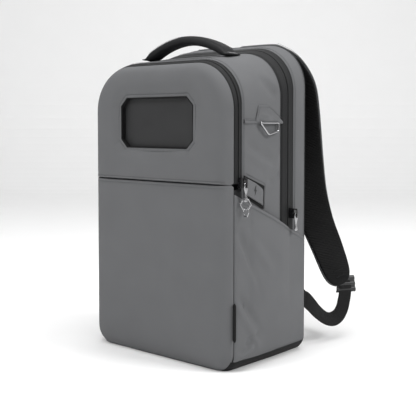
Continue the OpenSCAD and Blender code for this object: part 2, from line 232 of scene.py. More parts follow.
def mesh_cloth(name, colour, by_uv=True, cell=3.2):
    """Spacer mesh: raised diagonal ribs with rows of small dark holes between them."""
    material, tree, shader = new_material(name)
    vector = coordinates(tree, by_uv, 0.6)
    ribs = waves(tree, vector, cell, "X", 0.2)
    cells = add(tree, "ShaderNodeTexVoronoi", {"Vector": vector, "Scale": 1 / (cell * 0.55), "Randomness": 0.15},
                feature="F1").outputs["Distance"]
    height = math_node(tree, "ADD", ribs, math_node(tree, "MULTIPLY", cells, 0.9))
    shade = mix_colour(tree, math_node(tree, "MULTIPLY", height, 0.6), tone(colour, 0.25), tone(colour, 1.5))
    tree.links.new(shade, shader.inputs["Base Color"])
    slow = noise_fac(tree, vector, 0.02)
    tree.links.new(mix_colour(tree, slow, (0.6,) * 3, (0.85,) * 3), shader.inputs["Roughness"])
    shader.inputs["Specular IOR Level"].default_value = 0.2
    add_bump(tree, shader, 0.9, 0.5, height)
    return material


def webbing_material(name, colour):
    """Ribbed strap webbing: cross ribs and a herringbone of threads."""
    material, tree, shader = new_material(name)
    vector = coordinates(tree, True)
    ribs = waves(tree, vector, 1.7, "X")
    threads = waves(tree, vector, 2.4, "Y", 0.5)
    height = math_node(tree, "ADD", ribs, threads)
    slow = noise_fac(tree, vector, 0.06, 3.0)
    factor = math_node(tree, "MULTIPLY", math_node(tree, "ADD", height, slow), 0.4)
    tree.links.new(mix_colour(tree, factor, tone(colour, 0.5), tone(colour, 1.6)), shader.inputs["Base Color"])
    tree.links.new(mix_colour(tree, slow, (0.5,) * 3, (0.75,) * 3), shader.inputs["Roughness"])
    shader.inputs["Specular IOR Level"].default_value = 0.2
    add_bump(tree, shader, 0.8, 0.25, height)
    return material


def hard(name, colour, rough, metal=0.0, grain=0.5, depth=0.03, coat=0.0, spread=0.12):
    """Moulded plastic or metal with fine grain, handling marks and uneven gloss."""
    material, tree, shader = new_material(name)
    vector = coordinates(tree, False)
    marks = noise_fac(tree, vector, grain, 5.0)
    slow = noise_fac(tree, vector, grain / 12, 2.0)
    tree.links.new(mix_colour(tree, slow, tone(colour, 0.85), tone(colour, 1.1)), shader.inputs["Base Color"])
    low, high = max(rough - spread, 0.02), min(rough + spread, 1)
    tree.links.new(mix_colour(tree, marks, (low,) * 3, (high,) * 3), shader.inputs["Roughness"])
    shader.inputs["Metallic"].default_value = metal
    shader.inputs["Coat Weight"].default_value = coat
    add_bump(tree, shader, 0.4, depth, marks)
    return material


def solar_material(name):
    """Textured dark laminate with faint cell lines and finger grid."""
    material, tree, shader = new_material(name)
    vector = coordinates(tree, False)
    parts = add(tree, "ShaderNodeSeparateXYZ", {"Vector": vector})
    flat = add(tree, "ShaderNodeCombineXYZ", {"X": parts.outputs["X"], "Y": parts.outputs["Z"]}).outputs["Vector"]
    turned = add(tree, "ShaderNodeMapping", {"Vector": flat, "Rotation": (0, 0, 0.7)}).outputs["Vector"]
    texture = waves(tree, turned, 1.5, "X", 0.3)
    fingers = waves(tree, flat, 2.0, "X")
    clouds = noise_fac(tree, flat, 0.03, 3.0)
    pattern = math_node(tree, "ADD", math_node(tree, "MULTIPLY", texture, 0.5),
                        math_node(tree, "MULTIPLY", fingers, 0.15))
    total = math_node(tree, "ADD", pattern, math_node(tree, "MULTIPLY", clouds, 0.35))
    tree.links.new(mix_colour(tree, total, (0.010, 0.0102, 0.0106), (0.026, 0.0265, 0.028)),
                   shader.inputs["Base Color"])
    tree.links.new(mix_colour(tree, clouds, (0.38,) * 3, (0.6,) * 3), shader.inputs["Roughness"])
    add_bump(tree, shader, 0.5, 0.08, texture)
    return material


GREY = (0.128, 0.130, 0.1345)
CHARCOAL = (0.0165, 0.0168, 0.0175)
BLACK = (0.0075, 0.0075, 0.008)

grey_cloth = cloth("grey_twill", GREY)
grey_thread = cloth("grey_thread", tone(GREY, 0.62), by_uv=False, period=0.5, contrast=0.25)
tape_cloth = cloth("zip_tape_cloth", CHARCOAL, period=1.1, contrast=0.3, rough=0.6, depth=0.08)
lining_cloth = cloth("lining_cloth", tone(GREY, 0.45), by_uv=False, period=2.2, contrast=0.2)
black_cloth = cloth("black_coated_cloth", BLACK, period=1.3, contrast=0.35, rough=0.62, depth=0.1)
handle_cloth = cloth("handle_cloth", (0.019, 0.0192, 0.020), period=1.2, contrast=0.35, rough=0.66)
spacer_mesh = mesh_cloth("spacer_mesh", (0.0034, 0.0034, 0.0036), cell=4.4)
pad_mesh = mesh_cloth("pad_mesh", (0.006, 0.006, 0.0064), by_uv=False, cell=4.4)
webbing_black = webbing_material("webbing_black", (0.0048, 0.0048, 0.005))
pale_thread = cloth("pale_thread", (0.45, 0.45, 0.46), by_uv=False, period=0.5, contrast=0.2)
dark_thread = cloth("dark_thread", (0.012, 0.012, 0.0125), by_uv=False, period=0.5, contrast=0.3)
nickel = hard("nickel_plate", (0.40, 0.40, 0.41), 0.24, metal=1.0, depth=0.01, spread=0.08)
enamel = hard("black_enamel", (0.008, 0.008, 0.009), 0.16, depth=0.01, coat=0.6, spread=0.06)
plastic = hard("black_moulding", (0.012, 0.012, 0.0125), 0.42, grain=1.4, depth=0.05)
coil_nylon = hard("coil_nylon", (0.014, 0.014, 0.015), 0.35, grain=2.0)
pale_plastic = hard("stiffener_sheet", (0.55, 0.56, 0.58), 0.4, grain=0.8)
foil = hard("cell_foil", (0.6, 0.6, 0.62), 0.3, metal=1.0, depth=0.05)
board = hard("circuit_board", (0.015, 0.10, 0.04), 0.35)
solar = solar_material("solar_laminate")
ink = hard("icon_ink", (0.012, 0.012, 0.013), 0.5)


# ---- mesh makers ----

def face_outward(mesh, closed):
    """Turns the faces of a closed skin, or of cloth on the bag, so that they look outward."""
    work = bmesh.new()
    work.from_mesh(mesh)
    if closed:
        bmesh.ops.recalc_face_normals(work, faces=work.faces)
    else:
        middle = Vector((0, 0, 0.25))
        if sum((f.calc_center_median() - middle).dot(f.normal) * f.calc_area() for f in work.faces) < 0:
            bmesh.ops.reverse_faces(work, faces=work.faces)
    work.to_mesh(mesh)
    work.free()


def finish_piece(piece, body, material, replaced=()):
    piece.data.materials.append(material)
    if body:
        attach(piece, body)
    if replaced:
        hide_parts(*replaced)
    return piece


def make_mesh(name, points, faces, uvs=None, flat=False):
    """An object from points in millimetres. uvs holds one (u, v) in metres for each point."""
    mesh = bpy.data.meshes.new(name)
    mesh.from_pydata([tuple(c * MM for c in p) for p in points], [], faces)
    if uvs:
        layer = mesh.uv_layers.new(name="cloth")
        for loop in mesh.loops:
            layer.data[loop.index].uv = uvs[loop.vertex_index]
    mesh.validate()
    mesh.update()
    piece = bpy.data.objects.new(name, mesh)
    bpy.context.scene.collection.objects.link(piece)
    if not flat:
        mesh.polygons.foreach_set("use_smooth", [True] * len(mesh.polygons))
    return piece


def grid_faces(rows, columns, wrap=False):
    faces = []
    last = columns if wrap else columns - 1
    for i in range(rows - 1):
        for j in range(last):
            k = (j + 1) % columns
            faces.append((i * columns + j, i * columns + k, (i + 1) * columns + k, (i + 1) * columns + j))
    return faces


def grid_uvs(rows):
    """UVs from distances along and across a grid of points."""
    middle = len(rows[0]) // 2
    uvs, u = [], 0.0
    for i, row in enumerate(rows):
        if i:
            u += (Vector(row[middle]) - Vector(rows[i - 1][middle])).length
        v = 0.0
        for j, point in enumerate(row):
            if j:
                v += (Vector(point) - Vector(row[j - 1])).length
            uvs.append((u * MM, v * MM))
    return uvs


def sheet_piece(name, rows, thickness, body, material, replaced=()):
    """A grid of points thickened into cloth."""
    points = [p for row in rows for p in row]
    piece = make_mesh(name, points, grid_faces(len(rows), len(rows[0])), grid_uvs(rows))
    face_outward(piece.data, False)
    solid = piece.modifiers.new("thickness", "SOLIDIFY")
    solid.thickness = thickness * MM
    solid.offset = -1
    return finish_piece(piece, body, material, replaced)


def tube_piece(name, rings, body, material, replaced=()):
    """A closed skin through rings of points, with flat ends."""
    columns = len(rings[0])
    points = [p for ring in rings for p in ring]
    faces = grid_faces(len(rings), columns, wrap=True)
    faces.append(tuple(reversed(range(columns))))
    faces.append(tuple(range((len(rings) - 1) * columns, len(rings) * columns)))
    piece = make_mesh(name, points, faces, grid_uvs(rings))
    face_outward(piece.data, True)
    return finish_piece(piece, body, material, replaced)


def stitch_row(points, outward, pitch=3.4, length=2.3, radius=0.34):
    """Vertices and faces of a row of stitches along points; outward gives the way out at each point."""
    verts, faces = [], []
    travelled, target = 0.0, pitch
    for (a, b, out) in zip(points, points[1:], outward):
        a, b, out = Vector(a), Vector(b), Vector(out).normalized()
        step = (b - a).length
        while travelled + step >= target and step > 0:
            centre = a + (b - a) * ((target - travelled) / step)
            d = (b - a).normalized()
            side = d.cross(out).normalized()
            base = len(verts)
            for s, w in ((-0.5, 0.35), (-0.3, 1), (0.3, 1), (0.5, 0.35)):
                for k in range(5):
                    angle = math.tau * k / 5
                    verts.append(centre + d * s * length
                                 + (side * math.cos(angle) + out * math.sin(angle)) * radius * w)
            for r in range(3):
                for k in range(5):
                    m = (k + 1) % 5
                    faces.append((base + r * 5 + k, base + r * 5 + m, base + r * 5 + 5 + m, base + r * 5 + 5 + k))
            faces.append(tuple(base + k for k in reversed(range(5))))
            faces.append(tuple(base + 15 + k for k in range(5)))
            target += pitch
        travelled += step
    return verts, faces


def stitch_piece(name, rows, body, slot, material, **sizes):
    """One object holding several rows of stitches; each row is (points, outward directions)."""
    verts, faces = [], []
    for points, outward in rows:
        more, sides = stitch_row(points, outward, **sizes)
        base = len(verts)
        verts += more
        faces += [tuple(base + i for i in face) for face in sides]
    piece = make_mesh(name, verts, faces)
    face_outward(piece.data, True)
    return finish_piece(piece, body, material)


# ---- paths round the bag ----

def half_path(y, low, top=None):
    """(x, z, normal x, normal z) up the right side from low, and over to the middle unless top is given."""
    hw, tz = half_w(y), top_z(y)
    points = []
    if low < BOTTOM_R:
        start = math.asin((low - BOTTOM_R) / BOTTOM_R)
        for k in range(10):
            a = start * (1 - k / 10)
            points.append((hw - BOTTOM_R + BOTTOM_R * math.cos(a), BOTTOM_R * (1 + math.sin(a)),
                           math.cos(a), math.sin(a)))
        low = BOTTOM_R
    end = top if top else tz - TOP_R
    count = max(3, round(((top or BODY_H - TOP_R) - low) / 4))
    points += [(hw, low + (end - low) * k / count, 1, 0) for k in range(count + (1 if top else 0))]
    if top:
        return points
    for k in range(28):
        a = math.pi / 2 * k / 28
        points.append((hw - TOP_R + TOP_R * math.cos(a), tz - TOP_R + TOP_R * math.sin(a),
                       math.cos(a), math.sin(a)))
    points += [((hw - TOP_R) * (1 - k / 16), tz, 0, 1) for k in range(17)]
    return points


def mirrored(path):
    return [(-x, z, -nx, nz) for x, z, nx, nz in reversed(path)]


def full_path(y, low):
    right = half_path(y, low)
    return right + mirrored(right)[1:]


def seam_profile(width, bulge, lip=1.6, depth=1.3):
    """Offsets (distance across, height) of a strip of cloth sewn down at both edges."""
    steps = [0, 0.35, 0.9, 1.8, 3.2, 5.2]
    across = [s for s in steps if s < width / 2]
    count = max(2, round((width - 2 * across[-1]) / 5))
    inner = [across[-1] + (width - 2 * across[-1]) * k / count for k in range(1, count)]
    across = across + inner + [width - s for s in reversed(across)]
    result = []
    for s in across:
        edge = min(s, width - s)
        height = bulge * math.sin(math.pi * s / width) ** 0.8 if width else 0
        result.append((s, height - depth * math.exp(-edge / lip)))
    return result


def strip_rings(y0, y1, path, bulge, shape=None, wall=2.6, depth=1.3):
    """Rings of a closed strip of cloth that follows path(y) from y0 to y1."""
    profile = seam_profile(y1 - y0, bulge, depth=depth)
    paths = [path(y0 + s) for s, _ in profile]
    rings = []
    for i in range(len(paths[0])):
        ring = []
        for (s, height), line in zip(profile, paths):
            x, z, nx, nz = line[i]
            y = y0 + s
            h = height - bulge * 0.9 * nz * math.sin(math.pi * s / (y1 - y0)) ** 0.8 * (nz > 0)
            h += shape((x, y, z), min(s, y1 - y0 - s)) * (1 - 0.9 * max(nz, 0)) if shape else 0
            ring.append((x + nx * h, y, z + nz * h))
        for s in (y1 - y0, (y1 - y0) / 2, 0):
            x, z, nx, nz = paths[-1 if s else 0][i] if s != (y1 - y0) / 2 else paths[len(paths) // 2][i]
            ring.append((x - nx * wall, y0 + s, z - nz * wall))
        rings.append(ring)
    return rings


# Folds in the side cloth: start and end as (y, z), width, height
RIGHT_FOLDS = [
    ((-60, 352), (-8, 330), 8, -3.2),
    ((-62, 338), (-15, 318), 7, 2.4),
    ((-10, 292), (18, 306), 6, -2.6),
    ((-22, 452), (2, 428), 7, -3.0),
    ((-12, 462), (12, 440), 7, 2.2),
    ((0, 300), (20, 335), 7, 1.8),
]
LEFT_FOLDS = [
    ((-55, 360), (5, 330), 9, -1.5),
    ((-40, 440), (8, 415), 8, 1.2),
]


def side_fold(p, edge):
    """Slow waves and a few soft folds in the side cloth, flat at its seams."""
    keep = smooth(edge / 7) * (1 - 0.85 * math.exp(-((p[1] + 48) / 30) ** 4 - ((p[2] - 280) / 32) ** 4))
    waves_here = 1.4 * bump_noise(p, 70, 3.1) + 0.5 * bump_noise(p, 28, 7.7)
    folds = sum(ridge(p, *fold) for fold in (RIGHT_FOLDS if p[0] > 0 else LEFT_FOLDS))
    return keep * (waves_here + folds)


def strip_piece(name, y0, y1, path, bulge, body, material, replaced=(), shape=None, depth=1.3):
    return tube_piece(name, strip_rings(y0, y1, path, bulge, shape, depth=depth), body, material, replaced)


def seam_line(y, path, lift, offset=0.0):
    """Points and outward directions of a line that follows the bag's outline at depth y."""
    line = path(y)
    points = [(x + nx * lift, y + offset, z + nz * lift) for x, z, nx, nz in line]
    return points, [(nx, 0, nz) for _, _, nx, nz in line]


def bend_with_lid(piece):
    """Bakes the piece's placement into its mesh."""
    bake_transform(piece)


def build_walls():
    """Grey strips of the sides and top, from the front zip to the back."""
    over_all = lambda y: full_path(y, BASE_Z)
    sides = strip_piece("side_cloth", Y_LID, Y_TAPE - 0.3, over_all, 1.2, None, grey_cloth,
                        ["upper_gusset", "side_panel_right", "side_panel_left"], side_fold)
    rows = [seam_line(Y_LID + 3.2, over_all, 0.7), seam_line(Y_TAPE - 3.4, over_all, 0.7)]
    stitches = stitch_piece("side_cloth_stitching", rows, None, "grey_cloth", grey_thread)
    bend_with_lid(sides)
    bend_with_lid(stitches)
    strip_piece("rear_side_cloth", Y_REAR, Y_BACK + 2, over_all, 1.0, "bag", grey_cloth,
                ["rear_gusset"], lambda p, e: smooth(e / 6) * 0.7 * bump_noise(p, 60, 5))
    rows = [seam_line(Y_REAR + 3.2, over_all, 0.9), seam_line(Y_BACK - 2.5, over_all, 0.5)]
    stitch_piece("rear_gusset_stitching", rows, "bag", "grey_cloth", grey_thread)


# ---- zips ----

def tape_rings(y_seam, y_coil, path):
    """Half of a zip: cloth from its seam to a folded edge that covers the teeth."""
    width = abs(y_coil - y_seam)
    way = 1 if y_coil > y_seam else -1
    stops = [(0, -1.4), (0.6, -0.7), (2, -0.2), (width * 0.35, 0.1), (width * 0.62, 0.2), (width - 3.2, 0.4),
             (width - 1.6, 0.75), (width - 0.6, 0.4), (width - 0.35, -0.5)]
    back = [(width - 0.5, -2.6), (width * 0.5, -3.0), (0, -3.2)]
    order = stops + back if way > 0 else list(reversed(stops + back))
    rings = []
    lines = {s: path(y_seam + way * s) for s, _ in order}
    for i in range(len(path(y_seam))):
        ring = []
        for s, h in order:
            x, z, nx, nz = lines[s][i]
            ring.append((x + nx * h, y_seam + way * s, z + nz * h))
        rings.append(ring)
    return rings


def teeth(name, y_coil, way, path, body):
    """Coil teeth along one edge of a zip, as small box-shaped bars."""
    line = path(y_coil)
    verts, faces = [], []
    travelled, target, pitch = 0.0, 0.0, 2.2
    for (x0, z0, nx, nz), (x1, z1, _, _) in zip(line, line[1:]):
        step = math.hypot(x1 - x0, z1 - z0)
        while travelled + step >= target:
            t = (target - travelled) / step
            x, z = x0 + (x1 - x0) * t, z0 + (z1 - z0) * t
            dx, dz = (x1 - x0) / step * 0.6, (z1 - z0) / step * 0.6
            base = len(verts)
            for across in (-0.1, 1.3):
                for side, high in ((-1, -1.6), (1, -1.6), (1, -0.75), (-1, -0.75)):
                    verts.append((x + dx * side + nx * high, y_coil + way * across, z + dz * side + nz * high))
            for k in range(4):
                m = (k + 1) % 4
                faces.append((base + k, base + m, base + 4 + m, base + 4 + k))
            faces += [(base + 3, base + 2, base + 1, base), (base + 4, base + 5, base + 6, base + 7)]
            target += pitch
        travelled += step
    return finish_piece(make_mesh(name, verts, faces, flat=True), body, coil_nylon)


def build_zips():
    coil1 = (Y_FRONT_COIL + node_box("front_zip_tape_front")[1][1]) / 2
    coil2 = (Y_COIL + lid_tape_high[1]) / 2
    flap_line = lambda y: full_path(y, SEAM_Z + 1.5)
    lid_front_line = lambda y: full_path(y, TAPE_Z)
    bag_line = lambda y: full_path(y, BASE_Z)
    tube_piece("front_zip_tape_on_flap", tape_rings(Y_FRONT, coil1 - 0.5, flap_line), "front_flap",
               tape_cloth, ["front_zip_tape_front"])
    tube_piece("front_zip_tape_on_lid", tape_rings(Y_LID - 0.9, coil1 + 0.5, lid_front_line), "main_lid",
               tape_cloth, ["front_zip_tape_rear"])
    lid_tape = tube_piece("main_zip_tape_on_lid", tape_rings(Y_TAPE, coil2 - 0.5, bag_line), None,
                          tape_cloth, ["main_zip_tape_front", "main_zip_tape_lower"])
    bend_with_lid(lid_tape)
    tube_piece("main_zip_tape_on_bag", tape_rings(Y_REAR, coil2 + 0.5, bag_line), "bag",
               tape_cloth, ["main_zip_tape_rear"])
    for side, mirror in (("right", list), ("left", mirrored)):
        low = lambda y: mirror(half_path(y, BASE_Z, TAPE_Z - 0.6))
        gusset = strip_piece("front_gusset_cloth_" + side, Y_FRONT, Y_LID - 0.3, low, 0.3, "bag",
                             tape_cloth)
        if side == "right":
            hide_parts("front_gusset_lower")
    teeth("front_teeth_on_flap", coil1, -1, flap_line, "front_flap")
    teeth("front_teeth_on_lid", coil1, 1, lid_front_line, "main_lid")
    bend_with_lid(teeth("main_teeth_on_lid", coil2, -1, bag_line, None))
    teeth("main_teeth_on_bag", coil2, 1, bag_line, "bag")
    for name, body, y, line in (("front_tape_stitches", "front_flap", Y_FRONT + 2.4, flap_line),
                                ("lid_front_tape_stitches", "main_lid", Y_LID - 3.2, lid_front_line),
                                ("lid_tape_stitches", None, Y_TAPE + 2.6, bag_line),
                                ("bag_tape_stitches", "bag", Y_REAR - 2.6, bag_line)):
        stitches = stitch_piece(name, [seam_line(y, line, 0.15)], body, "charcoal_cloth", dark_thread,
                                pitch=3.0, length=2.0)
        if not body:
            bend_with_lid(stitches)


# ---- front pillows ----

def inside_distance(x, z, z0, z1, r0, r1):
    """Distance from (x, z) in to the edge of a rounded rectangle of the front's width."""
    centre = (z0 + z1) / 2
    r = r1 if z > centre else r0
    qx = abs(x) - (FRONT_W / 2 - r)
    qz = abs(z - centre) - ((z1 - z0) / 2 - r)
    outside = math.hypot(max(qx, 0), max(qz, 0)) + min(max(qx, qz), 0)
    return r - outside


def seam_distance(x, z, z0, z1, r0, r1):
    """Distance in from the pillow's edge, where the edge at the middle seam rolls in over a few millimetres."""
    if r1 < r0:
        return min(inside_distance(x, z, z0, z1 + 60, r0, r1), (z1 - z) / 0.07)
    return min(inside_distance(x, z, z0 - 60, z1, r0, r1), (z - z0) / 0.07)


def crown(d):
    d = max(d, 0)
    return (1 - math.exp(-d / 8.5)) / (1 - math.exp(-4)) if d < 34 else 1


def row_heights(z0, z1, r0, r1, count):
    """Heights of the grid's rows, closer together in the round corners."""
    bottom = [z0 + r0 * (1 - math.cos(math.pi / 2 * k / 14)) for k in range(14)]
    top = [z1 - r1 * (1 - math.cos(math.pi / 2 * k / 14)) for k in reversed(range(14))]
    middle = [z0 + r0 + (z1 - r1 - z0 - r0) * k / count for k in range(count + 1)]
    return bottom + middle + top


def row_half_width(z, z0, z1, r0, r1):
    half = FRONT_W / 2
    if z < z0 + r0:
        return half - r0 + math.sqrt(max(r0 * r0 - (z0 + r0 - z) ** 2, 0))
    if z > z1 - r1:
        return half - r1 + math.sqrt(max(r1 * r1 - (z - z1 + r1) ** 2, 0))
    return half


def edge_spaced(count):
    """Positions from -1 to 1, closer together at both ends."""
    return [math.sin(math.pi / 2 * (2 * k / count - 1)) * 0.5 + (2 * k / count - 1) * 0.5 for k in range(count + 1)]


def lower_relief(p):
    sag = 0.9 * bump_noise(p, 110, 1.3) + 0.35 * bump_noise(p, 36, 4.2)
    return sag - 1.6 * math.exp(-((p[2] - SEAM_Z) / 12) ** 2)


def build_lower_front():
    z0, z1, r0, r1 = lower_low[2], lower_high[2] + 0.3, BOTTOM_R + 6, 4
    rows = []
    for z in row_heights(z0, z1, r0, r1, 60):
        half = row_half_width(z, z0, z1, r0, r1)
        row = []
        for u in edge_spaced(84):
            x = u * half
            d = seam_distance(x, z, z0, z1, r0, r1)
            keep = smooth(d / 26)
            row.append((x, Y_FRONT - RISE * crown(d) - keep * lower_relief((x, Y_FRONT, z)) * 0.8, z))
        rows.append(row)
    panel = sheet_piece("lower_front_cloth", rows, 2.6, "bag", grey_cloth, ["front_lower_panel"])
    line = [(-FRONT_W / 2 + 7 + (FRONT_W - 14) * k / 120, z1 - 5.6) for k in range(121)]
    points = [(x, Y_FRONT - RISE * crown(seam_distance(x, z, z0, z1, r0, r1)) - 0.35, z) for x, z in line]
    stitch_piece("lower_front_stitching", [(points, [(0, -0.7, 0.7)] * len(points))], "bag", "grey_cloth",
                 grey_thread)


def octagon_point(t, w, h, c, grow=0.0):
    """Point at t in 0..1 round an octagon, starting at the middle of the right side, one eighth to a side."""
    w, h = w / 2 + grow, h / 2 + grow
    c = c + grow * 0.586
    corners = [(w, c - h), (w, h - c), (w - c, h), (c - w, h), (-w, h - c), (-w, c - h), (c - w, -h), (w - c, -h)]
    position = (t % 1) * 8
    k = int(position)
    a, b = corners[k], corners[(k + 1) % 8]
    f = position - k
    return a[0] + (b[0] - a[0]) * f, a[1] + (b[1] - a[1]) * f


def outline_point(t, z0, z1, r0, r1, centre):
    """Point at t round the flap's outline, matched side for side with octagon_point."""
    half = FRONT_W / 2
    position = (t % 1) * 8
    k = int(position)
    f = position - k
    low, high = z0 + r0, z1 - r1
    if k == 0:
        return half, low + (high - low) * f - centre
    if k == 1:
        a = math.pi / 2 * f
        return half - r1 + r1 * math.cos(a), high + r1 * math.sin(a) - centre
    if k == 2:
        return (half - r1) * (1 - 2 * f), z1 - centre
    if k == 3:
        a = math.pi / 2 * (1 + f)
        return r1 - half + r1 * math.cos(a), high + r1 * math.sin(a) - centre
    if k == 4:
        return -half, high - (high - low) * f - centre
    if k == 5:
        a = math.pi / 2 * (2 + f)
        return r0 - half + r0 * math.cos(a), low + r0 * math.sin(a) - centre
    if k == 6:
        return (half - r0) * (2 * f - 1), z0 - centre
    a = math.pi / 2 * (3 + f)
    return half - r0 + r0 * math.cos(a), low + r0 * math.sin(a) - centre


def window_sizes():
    low, high = node_box("window_frame")
    lap = 7
    return high[0] - low[0] - 2 * lap, high[2] - low[2] - 2 * lap, 13, (low[2] + high[2]) / 2


def flap_depth(x, z, e, z0, z1, r0, r1):
    """Y of the flap's cloth at a point that lies e outside the window's edge."""
    d = seam_distance(x, z, z0, z1, r0, r1)
    y = Y_FRONT - RISE * crown(d)
    keep = smooth(d / 26)
    dish = 3.4 * math.exp(-(e / 15) ** 2) - 1.0 * math.exp(-((e - 24) / 11) ** 2)
    slack = 0.7 * bump_noise((x, 0, z), 80, 9.1) + 0.4 * bump_noise((x, 0, z), 26, 2.4) * math.exp(-(e / 40) ** 2)
    pucker = 0.5 * math.exp(-((e - 7) / 5) ** 2) * bump_noise((x, 0, z), 9, 6.6)
    return y + keep * (dish - slack - pucker)


def build_flap():
    z0, z1, r0, r1 = flap_low[2] - 0.25, flap_high[2], 4, TOP_R
    w, h, c, centre = window_sizes()
    around = 320
    radial = [0, 0.004, 0.010, 0.018, 0.028, 0.04, 0.055, 0.075, 0.1, 0.13, 0.165, 0.2, 0.24, 0.28, 0.33, 0.38,
              0.43, 0.48, 0.53, 0.58, 0.63, 0.68, 0.73, 0.775, 0.815, 0.85, 0.88, 0.91, 0.935, 0.955, 0.972,
              0.985, 0.994, 1]
    rows = []
    for fold_in, deep in ((0.3, 4.6), (0.0, 3.4), (-0.1, 1.6), (0.0, 0.7)):
        row = []
        for k in range(around):
            x, z = octagon_point(k / around, w, h, c, fold_in * 0.3 + 0.4)
            y = flap_depth(x, z + centre, 0, z0, z1, r0, r1)
            row.append((x, y + deep, z + centre))
        rows.append(row)
    for s in radial:
        row = []
        for k in range(around):
            t = k / around
            ax, az = octagon_point(t, w, h, c, 0.9)
            bx, bz = outline_point(t, z0, z1, r0, r1, centre)
            gap = math.hypot(bx - ax, bz - az)
            x, z = ax + (bx - ax) * s, az + (bz - az) * s + centre
            e = gap * s
            lip = -0.5 * math.exp(-((e - 1.6) / 1.3) ** 2) + 0.7 * math.exp(-((e - 5.2) / 1.0) ** 2)
            row.append((x, flap_depth(x, z, e, z0, z1, r0, r1) + lip, z))
        rows.append(row)
    points = [p for row in rows for p in row]
    uvs = [(p[0] * MM, (p[2] + p[1] * 0.3) * MM) for p in points]
    piece = make_mesh("flap_cloth", points, grid_faces(len(rows), around, wrap=True), uvs)
    face_outward(piece.data, False)
    solid = piece.modifiers.new("thickness", "SOLIDIFY")
    solid.thickness = 2.4 * MM
    solid.offset = -1
    finish_piece(piece, "front_flap", grey_cloth, ["front_flap_panel", "window_frame"])
    rings = []
    for grow in (5.2,):
        line = [octagon_point(k / 400, w, h, c, grow + 0.9) for k in range(401)]
        rings.append(([(x, flap_depth(x, z + centre, grow, z0, z1, r0, r1) + 0.25, z + centre) for x, z in line],
                      [(0, -1, 0)] * 401))
    stitch_piece("window_stitching", rings, "front_flap", "grey_cloth", grey_thread, pitch=3.0, length=2.0,
                 radius=0.36)
    panel_face = node_box("solar_panel")[0][1]
    walls = []
    for y, grow in ((Y_FACE + 3.4, 1.0), (Y_FACE + 3.6, 0.3), (Y_FACE + 6, 0.2), (panel_face - 1.2, 0.2),
                    (panel_face - 0.2, -0.6)):
        walls.append([(x, y, z + centre) for x, z in
                      (octagon_point(k / 96, w, h, c, grow) for k in range(97))])
    sheet_piece("window_lining", walls, 0.8, "front_flap", black_cloth)
    line = [(-FRONT_W / 2 + 8 + (FRONT_W - 16) * k / 120, z0 + 5) for k in range(121)]
    points = [(x, flap_depth(x, z, 60, z0, z1, r0, r1) - 0.3, z) for x, z in line]
    stitch_piece("flap_seam_stitching", [(points, [(0, -0.7, -0.7)] * len(points))], "front_flap", "grey_cloth",
                 grey_thread)


# ---- base, back and inside ----

def build_base():
    """Black base: a tray that follows the bottom corners and turns up to the side seams."""
    rows = []
    for y in [Y_FRONT - 1.5, Y_FRONT - 1.2, Y_FRONT + 0.6] + [
            Y_FRONT + 3 + (Y_BACK - Y_FRONT - 5) * k / 34 for k in range(35)] + [Y_BACK + 1]:
        tuck = 3 * math.exp(-max(y - Y_FRONT, 0) / 2.0) if y < 0 else 0
        right = [(x, z, nx, nz) for x, z, nx, nz in bottom_path(y)]
        row = []
        for x, z, nx, nz in mirrored(right)[:-1] + right:
            ripple = 0.5 * bump_noise((x, y, z), 40, 8) * smooth((z - 2) / 12)
            row.append((x - nx * (tuck - ripple), y, max(z - nz * (tuck - ripple), 0.05)))
        rows.append(row)
    sheet_piece("base_cloth", rows, 2.4, "bag", black_cloth, ["base_panel"])


def bottom_path(y):
    """From the middle of the bottom out and up the right corner to just above the base's seam."""
    hw = half_w(y)
    points = [((hw - BOTTOM_R) * k / 14, 0, 0, -1) for k in range(14)]
    end = math.asin((BASE_Z + 0.6 - BOTTOM_R) / BOTTOM_R)
    for k in range(13):
        a = -math.pi / 2 + (end + math.pi / 2) * k / 12
        points.append((hw - BOTTOM_R + BOTTOM_R * math.cos(a), BOTTOM_R * (1 + math.sin(a)),
                       math.cos(a), math.sin(a)))
    return points


def rounded_outline(cx, w, z0, z1, r, inset, per_corner=8, per_side=10):
    """Points round a rounded rectangle in the XZ plane."""
    r = max(r - inset, 1.5)
    half = w / 2 - inset
    z0, z1 = z0 + inset, z1 - inset
    corners = [(half - r, z0 + r, -90), (half - r, z1 - r, 0), (r - half, z1 - r, 90), (r - half, z0 + r, 180)]
    points = []
    for (x, z, start), (nx, nz, after) in zip(corners, corners[1:] + corners[:1]):
        for k in range(per_corner):
            a = math.radians(start + 90 * k / per_corner)
            points.append((cx + x + r * math.cos(a), z + r * math.sin(a)))
        a = math.radians(start + 90)
        bx, bz = x + r * math.cos(a), z + r * math.sin(a)
        a = math.radians(after)
        ex, ez = nx + r * math.cos(a), nz + r * math.sin(a)
        points += [(cx + bx + (ex - bx) * k / per_side, bz + (ez - bz) * k / per_side) for k in range(per_side)]
    return points


